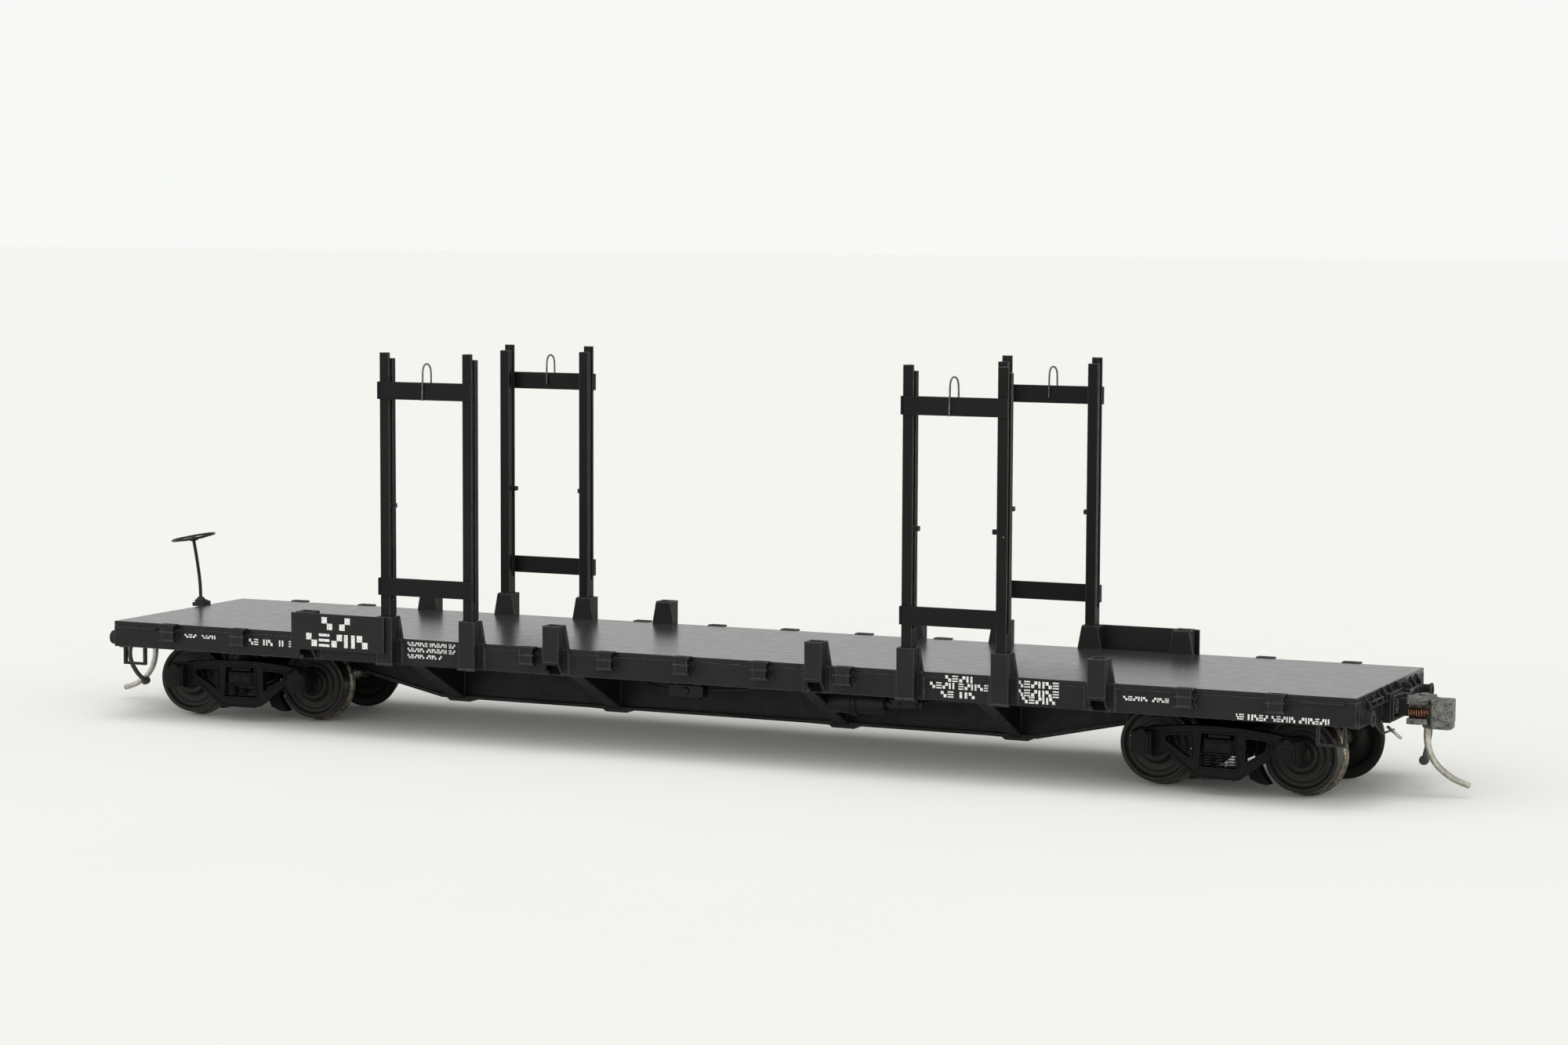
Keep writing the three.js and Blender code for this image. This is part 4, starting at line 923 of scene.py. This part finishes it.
def wire_loops():
    """The thin bent wires over the upper boards, round instead of six-sided."""
    for side, _ in SIDES:
        for end, _ in ENDS:
            node = f"wire_loop_{side}_{end}"
            low, high = (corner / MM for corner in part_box(node))
            turned = side == "back"
            middle, depth = (low.x + high.x) / 2, 0.13
            front, back = low.y + depth, high.y - depth
            if turned:
                middle, front, back = -middle, -high.y + depth, -low.y - depth
            foot, crown = low.z + 0.02, high.z - depth - 0.02
            half = (high.x - low.x) / 2 - depth
            centre = (front + back) / 2
            points = [
                (middle - half, front, foot),
                (middle - half * 0.92, front, 48.4),
                (middle - half * 0.85, front, 49.6),
                (middle - half * 0.8, front + 0.03, 50.9),
                (middle - half * 0.55, centre - 0.2, crown - 0.25),
                (middle, centre, crown),
                (middle + half * 0.55, centre + 0.2, crown - 0.25),
                (middle + half * 0.8, back - 0.03, 50.9),
                (middle + half * 0.85, back, 49.6),
                (middle + half * 0.85, back, foot + 0.7),
            ]
            shape = Shape()
            shape.tube(points, 0.125, 12, 8)
            if turned:
                shape.half_turn()
            made = shape.piece(f"bent_{node}", f"stake_frame_{side}_{end}", "wire_steel", (WIRE,))
            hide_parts(node)


def stake_details():
    """Thin clips where the boards end, and the pins that hold them to the stakes."""
    for side, _ in SIDES:
        for end, _ in ENDS:
            node = f"lower_board_{side}_{end}"
            low, high = (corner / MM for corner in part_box(node))
            x0, x1 = (low.x, high.x) if side == "front" else (-high.x, -low.x)
            shape = Shape()
            for bottom in (19.95, 46.85):
                for x in (x0, x1 - 0.3):
                    shape.box((x, -18.27, bottom + 0.02), (x + 0.3, -18.1, bottom + 2.38))
                for x in (x0 + 0.8, x1 - 0.8):
                    shape.rivet((x, -18.15, bottom + 1.9), (0, -1, 0), 0.13, 0.07, 8)
                    shape.rivet((x, -18.15, bottom + 0.5), (0, -1, 0), 0.13, 0.07, 8)
            if side == "back":
                shape.half_turn()
            shape.piece(f"board_clips_{side}_{end}", f"stake_frame_{side}_{end}", "stake_plastic", (STAKE,),
                        bevel=0.04)


def studio():
    """Pale flat floor, a pale surround and one very soft light from above and a little behind the car."""
    floor_mesh = bpy.data.meshes.new("floor")
    reach = 6.0
    corners = [(-reach, -reach, 0), (reach, -reach, 0), (reach, reach, 0), (-reach, reach, 0)]
    floor_mesh.from_pydata(corners, [], [(0, 1, 2, 3)])
    floor = bpy.data.objects.new("floor", floor_mesh)
    floor.location.z = -0.00002
    bpy.context.scene.collection.objects.link(floor)
    look = Look("pale floor", 0.85, gloss=0.2)
    tone = look.ramp(look.noise(14, 4.0), 0.3, 0.7)
    look.colour(look.mix(tone, (0.815, 0.815, 0.786), (0.825, 0.825, 0.796)))
    floor.data.materials.append(look.bump(look.noise(1800, 3.0), 0.05, 0.02))
    bpy.context.scene.view_settings.view_transform = "Standard"
    surround()

    data = bpy.data.lights.new("overhead", "SUN")
    data.energy = 0.6
    data.angle = math.radians(35)
    lamp = bpy.data.objects.new("overhead", data)
    lamp.rotation_euler = (math.radians(-8), math.radians(3), 0)
    bpy.context.scene.collection.objects.link(lamp)


def surround():
    """A pale surround, brightest low down on the camera's side, so that light reaches in under the car."""
    world = bpy.data.worlds.new("surround")
    bpy.context.scene.world = world
    world.use_nodes = True
    nodes, links = world.node_tree.nodes, world.node_tree.links
    split = nodes.new("ShaderNodeSeparateXYZ")
    links.new(nodes.new("ShaderNodeTexCoord").outputs["Generated"], split.inputs["Vector"])

    def ramp(value, low, high, start, end):
        node = nodes.new("ShaderNodeMapRange")
        node.interpolation_type = "SMOOTHSTEP"
        for name, number in (("From Min", low), ("From Max", high), ("To Min", start), ("To Max", end)):
            node.inputs[name].default_value = number
        links.new(value, node.inputs["Value"])
        return node.outputs["Result"]

    def add(a, b):
        node = nodes.new("ShaderNodeMath")
        links.new(a, node.inputs[0])
        links.new(b, node.inputs[1])
        return node.outputs["Value"]

    around = ramp(split.outputs["Y"], -0.3, 0.78, 2.0, 0.945)
    above = ramp(split.outputs["Z"], 0.12, 0.6, 0.0, -0.8)
    back = nodes["Background"]
    links.new(add(around, above), back.inputs["Strength"])
    back.inputs["Color"].default_value = (0.985, 1.0, 0.98, 1.0)


def camera():
    data = bpy.data.cameras.new("camera")
    data.lens = FOCAL_LENGTH
    data.clip_start = 0.01
    data.clip_end = 50
    made = bpy.data.objects.new("camera", data)
    turn = (Matrix.Rotation(math.radians(CAMERA_AZIMUTH), 4, "Z")
            @ Matrix.Rotation(math.radians(90 - CAMERA_ELEVATION), 4, "X")
            @ Matrix.Rotation(math.radians(CAMERA_ROLL), 4, "Z"))
    made.matrix_world = Matrix.Translation(Vector(CAMERA_PLACE) * MM) @ turn
    bpy.context.scene.collection.objects.link(made)
    bpy.context.scene.camera = made


camera()
studio()
dress_frame()
wheels()
axles()
truck_castings()
pocket_painted_shade()
rivet_rows()
markings()
grab_irons()
brake_pipes()
brake_gear()
end_details()
coupler_details()
handbrake()
wire_loops()
stake_details()
